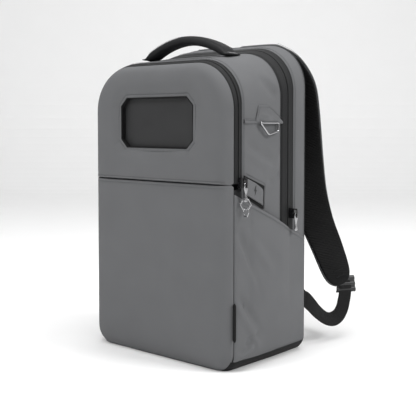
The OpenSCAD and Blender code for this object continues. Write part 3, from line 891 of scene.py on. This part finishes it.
def pad_piece(name, node, r, y_flat, y_crown, body, material, channels=(), soft=1.0):
    """A sewn foam pad over a CAD plate: flat at y_flat, crowned to y_crown, with sewn channels across it."""
    low, high = node_box(node)
    cx, w = (low[0] + high[0]) / 2, high[0] - low[0]
    reach = min(w, high[2] - low[2]) / 2 - 1
    way = 1 if y_crown > y_flat else -1
    thick = abs(y_crown - y_flat)
    insets = [0, 0.6, 1.4, 2.6, 4.2, 6.4, 9, 12, 16, 21, 27, 34, 42, 52, 64, 78, 94, 112]
    insets = [i for i in insets if i < reach] + [reach]
    rings = [[(x, y_flat, z) for x, z in rounded_outline(cx, w, low[2], high[2], r, 1.0)]]
    for inset in insets:
        ring = []
        for x, z in rounded_outline(cx, w, low[2], high[2], r, inset):
            h = 0.25 + 0.75 * (1 - math.exp(-inset / (4.5 * soft)))
            for axis, place in channels:
                d = (x - cx if axis == "x" else z) - place
                h -= 0.55 * math.exp(-(d / 3.2) ** 2) * smooth(inset / 6)
            h += 0.03 * bump_noise((x, 0, z), 22, 5.5)
            ring.append((x, y_flat + way * thick * min(h, 1.02), z))
        rings.append(ring)
    if way > 0:
        rings = [list(reversed(ring)) for ring in rings]
    pad = tube_piece(name, rings, body, material, [node])
    return pad


def build_back():
    """Black back panel with its rounded edge, the mesh pads and the strap yoke."""
    rings = []
    stops = [(Y_BACK + 0.6, 3.4), (Y_BACK + 0.8, 0.9), (Y_BACK + 1.8, 0.1), (Y_BACK + 3.2, 0.5), (Y_END, 2.0),
             (Y_END + 0.2, 4.0), (Y_END, 8), (Y_END - 0.1, 40), (Y_END - 0.1, 90), (Y_END - 0.1, 150)]
    for y, inset in stops:
        ring = []
        for x, z in back_outline(inset):
            ring.append((x, y, z))
        rings.append(list(reversed(ring)))
    tube_piece("back_cloth", rings, "bag", black_cloth, ["back_panel"])
    for side in ("right", "left"):
        pad_piece("mesh_pad_" + side, "back_pad_" + side, 30, Y_END + 0.1, node_box("back_pad_right")[1][1] + 0.5,
                  "bag", pad_mesh, [("z", 235), ("z", 320), ("z", 405)])
    pad_piece("mesh_pad_lumbar", "lumbar_pad", 28, Y_END + 0.1, node_box("lumbar_pad")[1][1] + 0.5, "bag",
              pad_mesh, [("x", -45), ("x", 45)])
    pad_piece("yoke_cloth", "strap_yoke", 4, Y_END + 0.1, node_box("strap_yoke")[1][1], "bag",
              tape_cloth, soft=0.3)


def back_outline(inset):
    """Outline of the back panel, inset towards its middle line."""
    half = BODY_W / 2
    r0, r1 = max(BOTTOM_R - inset, 2), max(TOP_R - inset, 2)
    inset_x = min(inset, half - 3)
    left_right = half - inset_x
    z0, z1 = inset, BODY_H - inset
    r0, r1 = min(r0, left_right), min(r1, left_right)
    points = []
    for cx, cz, r, start in ((left_right - r0, z0 + r0, r0, -90), (left_right - r1, z1 - r1, r1, 0),
                             (r1 - left_right, z1 - r1, r1, 90), (r0 - left_right, z0 + r0, r0, 180)):
        points += [(cx + r * math.cos(math.radians(start + 90 * k / 14)),
                    cz + r * math.sin(math.radians(start + 90 * k / 14))) for k in range(15)]
    return points


def build_inside():
    """Dividers, laptop panel and stiffener seen when the lid is open."""
    for node, body, r in (("lower_divider", "bag", 26), ("lid_divider", "main_lid", 60),
                          ("laptop_divider", "bag", 24)):
        low, high = node_box(node)
        channels = [("x", -60), ("x", 60)] if node == "laptop_divider" else []
        pad_piece(node + "_cloth", node, r if node != "lower_divider" else 12, high[1], low[1], body,
                  lining_cloth, channels, soft=0.4)
    dress("frame_sheet", pale_plastic, 0.8)


def dress(node, material, bevel=0.0, segments=3):
    """Gives a CAD node its material and a softened edge."""
    obj = NODES[node]
    obj.data.materials.clear()
    obj.data.materials.append(material)
    if bevel:
        mod = obj.modifiers.new("soft_edges", "BEVEL")
        mod.width = bevel * MM
        mod.segments = segments
        mod.limit_method = "ANGLE"
        mod.angle_limit = math.radians(40)
    return obj


# ---- side pockets ----

# Folds in the pocket cloth: start and end as (y, z), width, height
POCKET_FOLDS = [
    ((-82, 232), (-20, 158), 9, 1.7),
    ((-84, 214), (-38, 120), 6, -1.6),
    ((-84, 190), (-30, 110), 8, 1.5),
    ((-84, 118), (-36, 62), 6, -1.9),
    ((-84, 100), (-42, 40), 6, 2.1),
    ((-70, 236), (10, 176), 12, 1.2),
    ((-30, 205), (40, 110), 16, -1.0),
    ((0, 180), (60, 60), 18, 0.9),
    ((-84, 24), (-56, 36), 4, 4.2),
    ((-66, 44), (-40, 54), 5, -2.6),
]
MOUTH_FRONT_Z = 277
MOUTH_DROP = 84
MOUTH_RUN = Y_BACK - Y_FRONT


def mouth_z(y):
    """Height of the pocket's slanted mouth at depth y."""
    return MOUTH_FRONT_Z - MOUTH_DROP * (y - Y_FRONT) / MOUTH_RUN


def pocket_relief(p):
    """Folds of the pocket cloth: pulled from the front seam's foot up to the back."""
    y, z = p[1], p[2]
    q = (0, y, z)
    folds = sum(ridge(q, *fold) for fold in POCKET_FOLDS)
    under_rings = math.exp(-(max(y + 95, 0) / 34) ** 4) * smooth((z - 222) / 10)
    return (1.45 * folds + 0.8 * bump_noise(q, 30, 3.3)) * (1 - under_rings) - 0.8 * under_rings


def build_pocket(sign, side):
    """Pocket cloth from the base seam up to its slanted mouth."""
    high = node_box("side_pocket_right")[1]
    stand = high[0] - half_w(-10) - 2.2
    rows = []
    count = 56
    for k in range(count + 1):
        y = Y_FRONT + 1 + (Y_BACK + 1.5 - Y_FRONT - 1) * k / count
        edge = min(y - Y_FRONT - 1, Y_BACK + 1.5 - y)
        top = mouth_z(y)
        path = half_path(y, BASE_Z, top)
        bow = math.sin(math.pi * min(max((y + 60) / 100, 0), 1)) ** 0.7 if -60 < y < 40 else 0
        row = []
        for x, z, nx, nz in path:
            lean = (stand - 0.6) * bow * min(max((z - BOTTOM_R) / 100, 0), 1)
            keep = smooth(edge / 9) * smooth((z - BASE_Z) / 10) * smooth((top - z) / 9 + 0.15)
            hem = 0.2 * math.exp(-((top - z - 4.5) / 3.5) ** 2)
            off = 1.9 + lean + keep * (0.8 + (pocket_relief((x, y, z)) if sign > 0 else
                                              0.8 * pocket_relief((x, y + 8, z)))) + hem
            off -= 1.6 * math.exp(-edge / 1.5) + 1.2 * math.exp(-(z - BASE_Z) / 1.5)
            row.append((sign * (x + nx * off), y, z + nz * off))
        rows.append(row)
    width = max(len(row) for row in rows)
    rows = [resample(row, width) for row in rows]
    if sign < 0:
        rows.reverse()
    sheet_piece("pocket_cloth_" + side, rows, 1.2, "bag", grey_cloth,
                ["side_pocket_" + side, "pocket_hem_" + side])
    line = [Vector(row[-1]) - (Vector(row[-1]) - Vector(row[-2])).normalized() * 5.5
            + Vector((sign * 0.45, 0, 0)) for row in rows[2:-2]]
    stitch_piece("pocket_stitching_" + side, [(line, [(sign, 0, 0)] * len(line))], "bag", "grey_cloth", grey_thread)


def resample(row, count):
    """The same line of points with an even number of steps."""
    points = [Vector(p) for p in row]
    lengths = [0.0]
    for a, b in zip(points, points[1:]):
        lengths.append(lengths[-1] + (b - a).length)
    result, i = [], 0
    for k in range(count):
        target = lengths[-1] * k / (count - 1)
        while i < len(lengths) - 2 and lengths[i + 1] < target:
            i += 1
        f = (target - lengths[i]) / max(lengths[i + 1] - lengths[i], 1e-6)
        result.append(tuple(points[i].lerp(points[i + 1], min(max(f, 0), 1))))
    return result


# ---- handle, tabs and straps ----

def sweep_rings(centres, widths, outs, section):
    """Rings of section points (across, out) carried along centres."""
    return [[tuple(Vector(c) + Vector(w) * a + Vector(o) * b for a, b in [pair])[0] for pair in shape]
            for c, w, o, shape in zip(centres, widths, outs, section)]


def rounded_section(half, low, high, power=2.6, count=28):
    """Points round a soft flat section: half wide each way, from low to high."""
    middle, thick = (low + high) / 2, (high - low) / 2
    points = []
    for k in range(count):
        a = math.tau * k / count
        c, s = math.cos(a), math.sin(a)
        points.append((half * math.copysign(abs(c) ** (2 / power), c),
                       middle + thick * math.copysign(abs(s) ** (2 / power), s)))
    return points


def build_handle():
    """Padded grip whose flat ends are sewn to the top."""
    low, high = node_box("grab_handle")
    y = (low[1] + high[1]) / 2
    half_y, thick_mid = (high[1] - low[1]) / 2, 7.8
    reach, tail, top = 88, 8, high[2] - 1
    base = top_z(y) + 1.6
    count = 80
    centres, outs, shapes = [], [], []
    for k in range(count + 1):
        x = (reach + tail) * (2 * k / count - 1)
        t = min(abs(x) / reach, 1)
        centres.append((x, y, base + 0.6 + (top - thick_mid - base) * (1 - t ** 1.9) ** 0.95))
    for k in range(count + 1):
        d = (Vector(centres[min(k + 1, count)]) - Vector(centres[max(k - 1, 0)])).normalized()
        outs.append((-d.z, 0, d.x))
        t = abs(centres[k][0]) / reach
        flat = smooth((t - 0.86) / 0.22)
        half = half_y * (1 - 0.07 * math.sin(math.pi * min(t, 1))) + 0.4 * bump_noise(centres[k], 25, 2)
        thick = thick_mid * (1 - flat) + 1.5 * flat
        shapes.append(rounded_section(half, -thick, thick, 2.5))
    rings = sweep_rings(centres, [(0, 1, 0)] * len(centres), outs, shapes)
    handle = tube_piece("handle_grip", rings, None, handle_cloth,
                        ["grab_handle", "handle_anchor_right", "handle_anchor_left"])
    rows = []
    for edge in (-1, 1):
        points = [tuple(Vector(c) + Vector((0, edge * half_y * 0.74, 0)) + Vector(o) * (s[7][1] * 0.84))
                  for c, o, s in zip(centres, outs, shapes)][5:-5]
        rows.append((points, outs[5:-5]))
    stitches = stitch_piece("handle_stitching", rows, None, "black_mesh", dark_thread, pitch=3.4)
    for piece in (handle, stitches):
        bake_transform(piece)
    bars = []
    for x in (-reach - 6, -reach - 2, reach + 2, reach + 6):
        points = [(x, y - 11 + 22 * k / 12, foot_height(x, centres, shapes) + 0.1) for k in range(13)]
        bars.append((points, [(0, 0, 1)] * 13))
    stitch_piece("handle_bartacks", bars, "main_lid", "black_webbing", pale_thread, pitch=2.6, length=1.6,
                 radius=0.45)


def foot_height(x, centres, shapes):
    best = min(range(len(centres)), key=lambda k: abs(centres[k][0] - x))
    return centres[best][2] + shapes[best][7][1]


def strap_route():
    """Centre, half width as a share of the shoulder width, and turn of the strap, root to end."""
    return [((54, 92.5, 515), 0.54, 0), ((53, 104, 515.5), 0.53, 0), ((53, 122, 513), 0.51, 0),
            ((56, 143, 506), 0.5, 0), ((62, 161, 492), 0.5, 0), ((70, 174, 470), 0.49, 3),
            ((78, 180, 442), 0.49, 8), ((84, 180, 405), 0.48, 12), ((90, 178, 365), 0.46, 17),
            ((99, 173, 315), 0.44, 24), ((111, 169, 262), 0.41, 33), ((125, 172, 212), 0.39, 42),
            ((142, 179, 166), 0.38, 52), ((156, 185, 126), 0.36, 60), ((162, 188, 109), 0.29, 62),
            ((165, 190, 100), 0.16, 63)]


def spline(values, t):
    """Catmull-Rom value at t through equally spaced values."""
    n = len(values) - 1
    k = min(int(t * n), n - 1)
    f = t * n - k
    a, b = values[max(k - 1, 0)], values[k]
    c, d = values[k + 1], values[min(k + 2, n)]
    return b + (c - a) * f * 0.5 + (a * 2 - b * 5 + c * 4 - d) * f * f * 0.5 + (
        b * 3 - a - c * 3 + d) * f * f * f * 0.5


STRAP_W = 76
STRAP_T = 11


def strap_frames(count):
    """Centres, width directions, outward directions and half widths along the right strap."""
    route = strap_route()
    points = [Vector(p) for p, _, _ in route]
    halves = [h for _, h, _ in route]
    turns = [a for _, _, a in route]
    frames = []
    for k in range(count + 1):
        t = k / count
        centre = spline(points, t)
        ahead, behind = spline(points, min(t + 0.01, 1)), spline(points, max(t - 0.01, 0))
        d = (ahead - behind).normalized()
        a = math.radians(spline(turns, t))
        w = Vector((math.cos(a), math.sin(a), 0))
        w = (w - d * w.dot(d)).normalized()
        out = w.cross(d).normalized()
        half = max(spline(halves, t), 0.05) * STRAP_W
        frames.append((centre, w, out, half, t))
    return frames


def mirror_rings(rings):
    return [[(-x, y, z) for x, y, z in reversed(ring)] for ring in rings]


def build_strap(sign, side):
    frames = strap_frames(110)
    body = "strap_" + side
    outer, inner = [], []
    left_edge, right_edge, out_dirs = [], [], []
    for centre, w, out, half, t in frames:
        end = smooth((1 - t) / 0.05)
        puff = 0.4 * bump_noise(tuple(centre), 30, 4)
        high = STRAP_T / 2 * (0.65 + 0.35 * end) + puff * 0.5
        section = rounded_section(half, -1.8, high, 2.9, 32)
        outer.append([tuple(centre + w * a + out * (b - 1.0 * smooth((abs(a) / half - 0.8) / 0.2) * (b > 0)))
                      for a, b in section])
        section = rounded_section(half - 1.4, -STRAP_T / 2 - 1.8 * (0.5 + 0.5 * end), -1.6, 3.4, 32)
        inner.append([tuple(centre + w * a + out * b) for a, b in section])
        for edge, line in ((-1, left_edge), (1, right_edge)):
            line.append(tuple(centre + w * edge * (half - 4.2) + out * (high - 0.1)))
        out_dirs.append(tuple(out))
    if sign < 0:
        outer, inner = mirror_rings(outer), mirror_rings(inner)
        left_edge = [(-x, y, z) for x, y, z in left_edge]
        right_edge = [(-x, y, z) for x, y, z in right_edge]
        out_dirs = [(-x, y, z) for x, y, z in out_dirs]
    skin = tube_piece("strap_outer_" + side, outer, None, grey_cloth, ["shoulder_strap_" + side])
    liner = tube_piece("strap_liner_" + side, inner, None, spacer_mesh, ["strap_mesh_" + side])
    stitches = stitch_piece("strap_stitching_" + side, [(left_edge[2:-8], out_dirs[2:-8]),
                                                        (right_edge[2:-8], out_dirs[2:-8])], None, "grey_cloth",
                            grey_thread)
    end = Vector((sign * 54, 128, 515)) * MM
    for piece in (skin, liner, stitches):
        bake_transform(piece)
    bars = []
    for t_at in (0.875, 0.905):
        centre, w, out, half, _ = frames[round(110 * t_at)]
        for row in (-0.6, 0, 0.6):
            d = w.cross(out)
            points = [centre + w * (-9 + 18 * k / 10) - out * (STRAP_T / 2 + 2.0) + d * row for k in range(11)]
            outs = [-out] * 11
            if sign < 0:
                points = [Vector((-p.x, p.y, p.z)) for p in points]
                outs = [Vector((-o.x, o.y, o.z)) for o in outs]
            bars.append((points, outs))
    stitch_piece("strap_bartacks_" + side, bars, body, "black_webbing", dark_thread, pitch=1.6, length=2.0,
                 radius=0.55)


WEBBING_ROUTE = [
    ((141, 93.4, 88), (0, 0, 1)), ((146, 103, 86), (0, 0.1, 1)), ((151, 114, 75), (0, 0.4, 0.9)),
    ((156, 128, 60), (-0.1, 0.55, 0.8)), ((160, 146, 47), (-0.3, 0.35, 0.9)), ((162, 165, 41), (-0.47, 0, 0.9)),
    ((163, 184, 44), (-0.5, -0.35, 0.8)), ((163, 197, 54), (-0.5, -0.7, 0.5)), ((163, 203, 66), (-0.5, -0.87, 0)),
    ((163.5, 206, 78), (-0.5, -0.87, 0)), ((163.2, 207.6, 90), (-0.5, -0.87, 0)),
    ((161.4, 205.5, 100), (-0.5, -0.87, 0)), ((157.0, 201, 110), (-0.5, -0.87, 0)),
    ((151.0, 194, 120), (-0.5, -0.87, 0))]
WEBBING_W = 25
WEBBING_T = 1.6


def build_webbing(sign, side):
    """One length of webbing: anchor, hanging loop, ladder lock and the strap's outer face."""
    points = [Vector(p) for p, _ in WEBBING_ROUTE]
    sides = [Vector(w) for _, w in WEBBING_ROUTE]
    rings = []
    count = 120
    for k in range(count + 1):
        t = k / count
        centre = spline(points, t)
        d = (spline(points, min(t + 0.01, 1)) - spline(points, max(t - 0.01, 0))).normalized()
        w = spline(sides, t)
        w = (w - d * w.dot(d)).normalized()
        s = w.cross(d).normalized()
        rings.append([tuple(centre + w * a + s * b)
                      for a, b in rounded_section(WEBBING_W / 2, -WEBBING_T / 2, WEBBING_T / 2, 4.5, 20)])
    if sign < 0:
        rings = mirror_rings(rings)
    strap = tube_piece("webbing_" + side, rings, None, webbing_black,
                       ["lower_webbing_" + side, "strap_webbing_" + side])
    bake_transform(strap)
    low, high = node_box("webbing_anchor_right")
    rings = []
    for k in range(9):
        y = Y_END + 0.1 + (high[1] + 0.6 - Y_END) * math.sin(math.pi / 2 * k / 8)
        inset = 1.5 * (1 - math.cos(math.pi / 2 * k / 8))
        outline = [(low[0] + inset, low[2] + 8 + inset), (high[0] - inset, low[2] + inset),
                   (high[0] - inset, high[2] - inset), (low[0] + inset, high[2] - 8 - inset)]
        ring = []
        for (ax, az), (bx, bz) in zip(outline, outline[1:] + outline[:1]):
            ring += [(ax + (bx - ax) * m / 8, y, az + (bz - az) * m / 8) for m in range(8)]
        rings.append(ring if sign < 0 else ring)
    rings = [[(sign * x, y, z) for x, y, z in ring] for ring in rings]
    if sign > 0:
        rings = [list(reversed(ring)) for ring in rings]
    tube_piece("anchor_tab_" + side, rings, "bag", webbing_black, ["webbing_anchor_" + side])


def build_d_ring_tab():
    """Sewn trapezoid over the D-ring, with the seam that runs across the side."""
    seam = node_box("d_ring_tab")[0][2] + 5
    corners = [(-47, seam), (23, seam), (-14, 412), (-39, 412)]
    rows = []
    for k in range(15):
        f = k / 14
        y0 = corners[0][0] + (corners[3][0] - corners[0][0]) * f
        y1 = corners[1][0] + (corners[2][0] - corners[1][0]) * f
        z = seam + (412 - seam) * f
        row = []
        for m in range(25):
            g = m / 24
            y = y0 + (y1 - y0) * g
            edge = min(g * (y1 - y0), (1 - g) * (y1 - y0), (1 - f) * 26)
            lift = 1.6 + 1.1 * smooth(edge / 3) + 2.6 * smooth(1 - f * 2.2) * math.exp(-((y + 16) / 17) ** 2)
            lift += 1.3 * math.exp(-((z - 397) / 2.6) ** 2 - ((y + 24) / 9) ** 4)
            row.append((half_w(y) + lift, y, z))
        rows.append(row)
    rows.insert(0, [(x - 0.6 - 1.6 * math.exp(-((y + 16) / 22) ** 2), y, z - 3.0) for x, y, z in rows[0]])
    rows.insert(0, [(x - 3.4, y, z + 0.6) for x, y, z in rows[0]])
    sheet_piece("d_ring_tab_cloth", rows, 1.2, "main_lid", grey_cloth, ["d_ring_tab"])
    line = [(-49, seam + 3), (-41.5, 414.5), (-11.5, 414.5), (26, seam + 3)]
    points = []
    for (ay, az), (by, bz) in zip(line, line[1:]):
        points += [(half_w(0) + 2.2, ay + (by - ay) * k / 20, az + (bz - az) * k / 20) for k in range(20)]
    inner = [(half_w(0) + 3.0, y * 0.86 - 2.6, seam + 5 + (z - seam - 3) * 0.72) for x, y, z in points]
    stitch_piece("d_ring_tab_stitching", [(inner, [(1, 0, 0)] * len(inner))], "main_lid", "grey_cloth",
                 grey_thread, pitch=3.0)
    rows = []
    for k in range(4):
        z = seam - 3 + [0, 0.2, 3.2, 7][k]
        off = [0.4, 2.2, 2.4, 1.3][k]
        rows.append([(half_w(y) + off + 0.2 * bump_noise((0, y, z), 14), y, z)
                     for y in [Y_LID + 3 + (Y_TAPE - 6 - Y_LID) * m / 40 for m in range(41)]])
    sheet_piece("side_seam_fold", rows, 0.9, "main_lid", grey_cloth)
    line = [(half_w(y) + 2.2, y, seam + 2.6) for y in [Y_LID + 4 + (Y_TAPE - 8 - Y_LID) * m / 40 for m in range(41)]]
    stitch_piece("side_seam_stitching", [(line, [(1, 0, 0)] * 41)], "main_lid", "grey_cloth", grey_thread,
                 pitch=3.0)


def build_port():
    """Charging port: cloth flap, a plain lightning-bolt power symbol, and a black sheet under the flap that gives
    piping at its top and back edges and painted shadow in the mouth below it.
    """
    low, high = node_box("port_flap")
    x = low[0]
    top = [(-72, 302), (-26, 284)]
    bottom = [(-71, 275), (-29, 256)]
    rows = []
    for k in range(13):
        f = k / 12
        row = []
        for m in range(17):
            g = m / 16
            y = (top[0][0] * (1 - g) + top[1][0] * g) * (1 - f) + (bottom[0][0] * (1 - g) + bottom[1][0] * g) * f
            z = (top[0][1] * (1 - g) + top[1][1] * g) * (1 - f) + (bottom[0][1] * (1 - g) + bottom[1][1] * g) * f
            edge = min(g, 1 - g) * 46
            out = 1.7 + 0.9 * smooth(edge / 5) * smooth(f * 3) - 0.7 * math.exp(-f * 9) + 0.9 * f * f
            row.append((x + out, y, z))
        rows.append(list(reversed(row)))
    sheet_piece("port_flap_cloth", rows, 1.3, "port_flap", grey_cloth, ["port_flap"])
    bolt = [(-46.6, 291), (-52.6, 279.5), (-49.0, 279.5), (-51.6, 270.5), (-44.6, 281.6), (-48.2, 281.6)]
    centre = (-49, 280.5)
    bolt = [(centre[0] + (y - centre[0]) * 0.85, centre[1] + (z - centre[1]) * 0.85) for y, z in bolt]
    surface = high[0] + 1.6
    verts = [(surface, y, z) for y, z in bolt] + [(surface + 0.3, y, z) for y, z in bolt]
    n = len(bolt)
    faces = [tuple(range(n)), tuple(reversed(range(n, 2 * n)))]
    faces += [(k, (k + 1) % n, n + (k + 1) % n, n + k) for k in range(n)]
    finish_piece(make_mesh("power_symbol", verts, faces, flat=True), "port_flap", ink)
    # Black sheet under the flap: real piping past its top and back edges, and painted shadow in the mouth below its
    # bottom edge.
    grow = 3.0
    mouth = [(-72, 302 + grow * 0.8), (-24.2, 284 + grow * 0.7), (-26.2, 250), (-30, 251), (-71, 271)]
    verts = [(half_w(y) - 0.6, y, z) for y, z in mouth] + [(half_w(y) + 2.1, y, z) for y, z in mouth]
    n = len(mouth)
    faces = [tuple(reversed(range(n))), tuple(range(n, 2 * n))]
    faces += [(k, (k + 1) % n, n + (k + 1) % n, n + k) for k in range(n)]
    finish_piece(make_mesh("port_piping_and_painted_shadow", verts, faces, flat=True), "bag", black_cloth)
    line = [(-70, 308.5), (-21.4, 289.5), (-23.4, 248)]
    points = []
    for (ay, az), (by, bz) in zip(line, line[1:]):
        points += [(half_w(ay + (by - ay) * k / 20) + 1.3, ay + (by - ay) * k / 20, az + (bz - az) * k / 20)
                   for k in range(20)]
    stitch_piece("port_stitching", [(points, [(1, 0, 0)] * len(points))], "bag", "grey_cloth", grey_thread,
                 pitch=3.0)


def build_seam_tab():
    low, high = node_box("seam_tab")
    rings = []
    count = 26
    for k in range(count + 1):
        t = k / count
        z = low[2] + (high[2] - low[2]) * t
        end = min(1, math.sqrt(max(1 - (abs(2 * t - 1) ** 8), 0)) + 0.2)
        rings.append([((low[0] + high[0]) / 2 + a * end, (low[1] + high[1]) / 2 + b * end, z)
                      for a, b in rounded_section((high[0] - low[0]) / 2, -1.3, 1.3, 3, 16)])
    tube_piece("seam_tab_cloth", rings, "bag", webbing_black, ["seam_tab"])


def build_ladder_lock(sign, side):
    """Moulded ladder lock with three bars, round the webbing."""
    low, high = node_box("ladder_lock_right")
    middle = Vector(((low[0] + high[0]) / 2, (low[1] + high[1]) / 2, (low[2] + high[2]) / 2))
    across, normal = Vector((0.5, 0.866, 0)), Vector((0.866, -0.5, 0))
    rings = []
    for k in range(31):
        t = 2 * k / 30 - 1
        end = min(1, math.sqrt(max(1 - abs(t) ** 12, 0)) + 0.25)
        bar = 0.9 * math.cos(t * math.pi * 3)
        half = (18 - 2 * t) * (0.94 + 0.06 * end)
        centre = middle + Vector((0, 0, 15 * t))
        rings.append([tuple(centre + across * a + normal * b)
                      for a, b in rounded_section(half, (-1.3 + bar * 0.4) * end, (1.7 + bar) * end, 5, 28)])
    if sign < 0:
        rings = mirror_rings(rings)
    tube_piece("ladder_lock_shell_" + side, rings, "strap_" + side, plastic,
               ["ladder_lock_" + side])


def build_pull(node):
    """Flared metal pull with a narrow neck."""
    low, high = node_box(node)
    x, y = (low[0] + high[0]) / 2, (low[1] + high[1]) / 2
    top, bottom = high[2], low[2]
    rings = []
    for k in range(41):
        t = k / 40
        z = top + (bottom - top) * t
        end = min(1, math.sqrt(max(1 - abs(2 * t - 1) ** 14, 0)) + 0.15)
        half = along(t, [(0, 3.4), (0.18, 4.6), (0.34, 4.2), (0.5, 2.6), (0.72, 2.7), (0.9, 4.3), (1, 3.6)])
        thick = 1.1 - 0.35 * math.exp(-((t - 0.58) / 0.16) ** 2)
        rings.append([(x + b * end, y + a * end, z)
                      for a, b in rounded_section(half, -thick, thick, 4, 24)])
    body = "front_zip_pull" if node == "front_zip_pull" else "main_zip_pull"
    tube_piece(node + "_metal", rings, body, nickel, [node])


def build_d_ring():
    """Wire ring with rounded corners, hanging from its sleeve."""
    low, high = node_box("d_ring")
    x = (low[0] + high[0]) / 2
    corners = [(-40, 385), (8, 385), (6, 371.5), (-19, 366.5)]
    line = []
    for (py, pz), (cy, cz), (ny, nz) in zip(corners[-1:] + corners, corners, corners[1:] + corners[:1]):
        before = Vector((py - cy, pz - cz)).normalized() * 3.2
        after = Vector((ny - cy, nz - cz)).normalized() * 3.2
        for k in range(7):
            t = k / 6
            line.append(Vector((cy, cz)) + before * (1 - t) ** 2 + after * t ** 2)
    rows = []
    for k, point in enumerate(line):
        d = (line[(k + 1) % len(line)] - line[k - 1]).normalized()
        n = Vector((-d.y, d.x))
        rows.append([(x + 1.8 * math.sin(a), point.x + n.x * 1.8 * math.cos(a), point.y + n.y * 1.8 * math.cos(a))
                     for a in (math.tau * m / 12 for m in range(12))])
    points = [p for row in rows for p in row]
    faces = grid_faces(len(rows) + 1, 12, wrap=True)
    faces = [tuple(i % len(points) for i in face) for face in faces]
    ring = make_mesh("d_ring_wire", points, faces)
    face_outward(ring.data, True)
    finish_piece(ring, "d_ring", nickel, ["d_ring"])


def build_hardware():
    for node in ("front_zip_slider", "main_zip_slider"):
        dress(node, enamel, 1.6, 4)
        build_pull(node.replace("slider", "pull"))
    build_d_ring()
    for node in ("pull_ring", "lock_ring"):
        obj = dress(node, nickel)
        obj.data.polygons.foreach_set("use_smooth", [True] * len(obj.data.polygons))
    dress("usb_port", plastic, 0.5)
    dress("power_bank_case", plastic, 0.8)
    dress("battery_cell", foil, 1.0)
    dress("charge_board", board, 0.2)
    dress("solar_panel", solar, 0.3)


# ---- camera, light and floor ----

CAMERA_PLACE = (0.9064, -1.0365, 0.3848)
CAMERA_AIM = (-0.6500, 0.7582, -0.0523)
CAMERA_TURN = math.radians(40.6)


def build_stage():
    """Pale floor that curves up behind the bag."""
    half_floor = 6
    profile = [(-half_floor, 0), (2.2, 0), (2.6, 0.05), (2.9, 0.25), (3.05, 0.6), (3.1, 3.5)]
    verts, faces = [], []
    turn = Matrix.Rotation(CAMERA_TURN, 3, "Z")
    for x in (-half_floor, half_floor):
        verts += [tuple(turn @ Vector((x, y, z - 0.0002))) for y, z in profile]
    n = len(profile)
    faces = [(k, k + 1, n + k + 1, n + k) for k in range(n - 1)]
    mesh = bpy.data.meshes.new("studio_floor")
    mesh.from_pydata(verts, [], faces)
    floor = bpy.data.objects.new("studio_floor", mesh)
    bpy.context.scene.collection.objects.link(floor)
    mod = floor.modifiers.new("curve", "SUBSURF")
    mod.levels = mod.render_levels = 3
    material, tree, shader = new_material("studio_paper")
    vector = coordinates(tree, False)
    grain = noise_fac(tree, vector, 0.01)
    tree.links.new(mix_colour(tree, grain, (0.90,) * 3, (0.92,) * 3), shader.inputs["Base Color"])
    shader.inputs["Roughness"].default_value = 0.9
    floor.data.materials.append(material)


def area_light(name, place, aim, size, power):
    data = bpy.data.lights.new(name, "AREA")
    data.shape = "RECTANGLE"
    data.size, data.size_y = size
    data.energy = power
    light = bpy.data.objects.new(name, data)
    bpy.context.scene.collection.objects.link(light)
    light.location = place
    light.rotation_euler = (Vector(aim) - Vector(place)).to_track_quat("-Z", "Y").to_euler()
    return light


def build_light():
    world = bpy.data.worlds.new("studio")
    bpy.context.scene.world = world
    world.use_nodes = True
    world.node_tree.nodes["Background"].inputs["Color"].default_value = (1, 1, 1, 1)
    world.node_tree.nodes["Background"].inputs["Strength"].default_value = 0.34
    area_light("key", (-0.5, -1.9, 2.3), (0, 0, 0.35), (1.2, 1.0), 40)
    area_light("right", (2.2, 0.7, 2.0), (0.1, 0, 0.35), (1.0, 1.0), 44)
    area_light("top", (0.2, 0.1, 2.8), (0, 0, 0.3), (2.0, 2.0), 46)


def build_camera():
    bpy.context.scene.view_settings.view_transform = "Standard"
    data = bpy.data.cameras.new("camera")
    data.lens = 69.7
    data.sensor_width = 36
    data.shift_y = -0.1033
    data.clip_end = 50
    camera = bpy.data.objects.new("camera", data)
    bpy.context.scene.collection.objects.link(camera)
    camera.location = CAMERA_PLACE
    camera.rotation_euler = Vector(CAMERA_AIM).to_track_quat("-Z", "Y").to_euler()
    bpy.context.scene.camera = camera


build_camera()
build_stage()
build_light()
build_walls()
build_zips()
build_lower_front()
build_flap()
build_base()
build_back()
build_inside()
build_pocket(1, "right")
build_pocket(-1, "left")
build_handle()
for way, hand in ((1, "right"), (-1, "left")):
    build_strap(way, hand)
    build_webbing(way, hand)
    build_ladder_lock(way, hand)
build_d_ring_tab()
build_port()
build_seam_tab()
build_hardware()
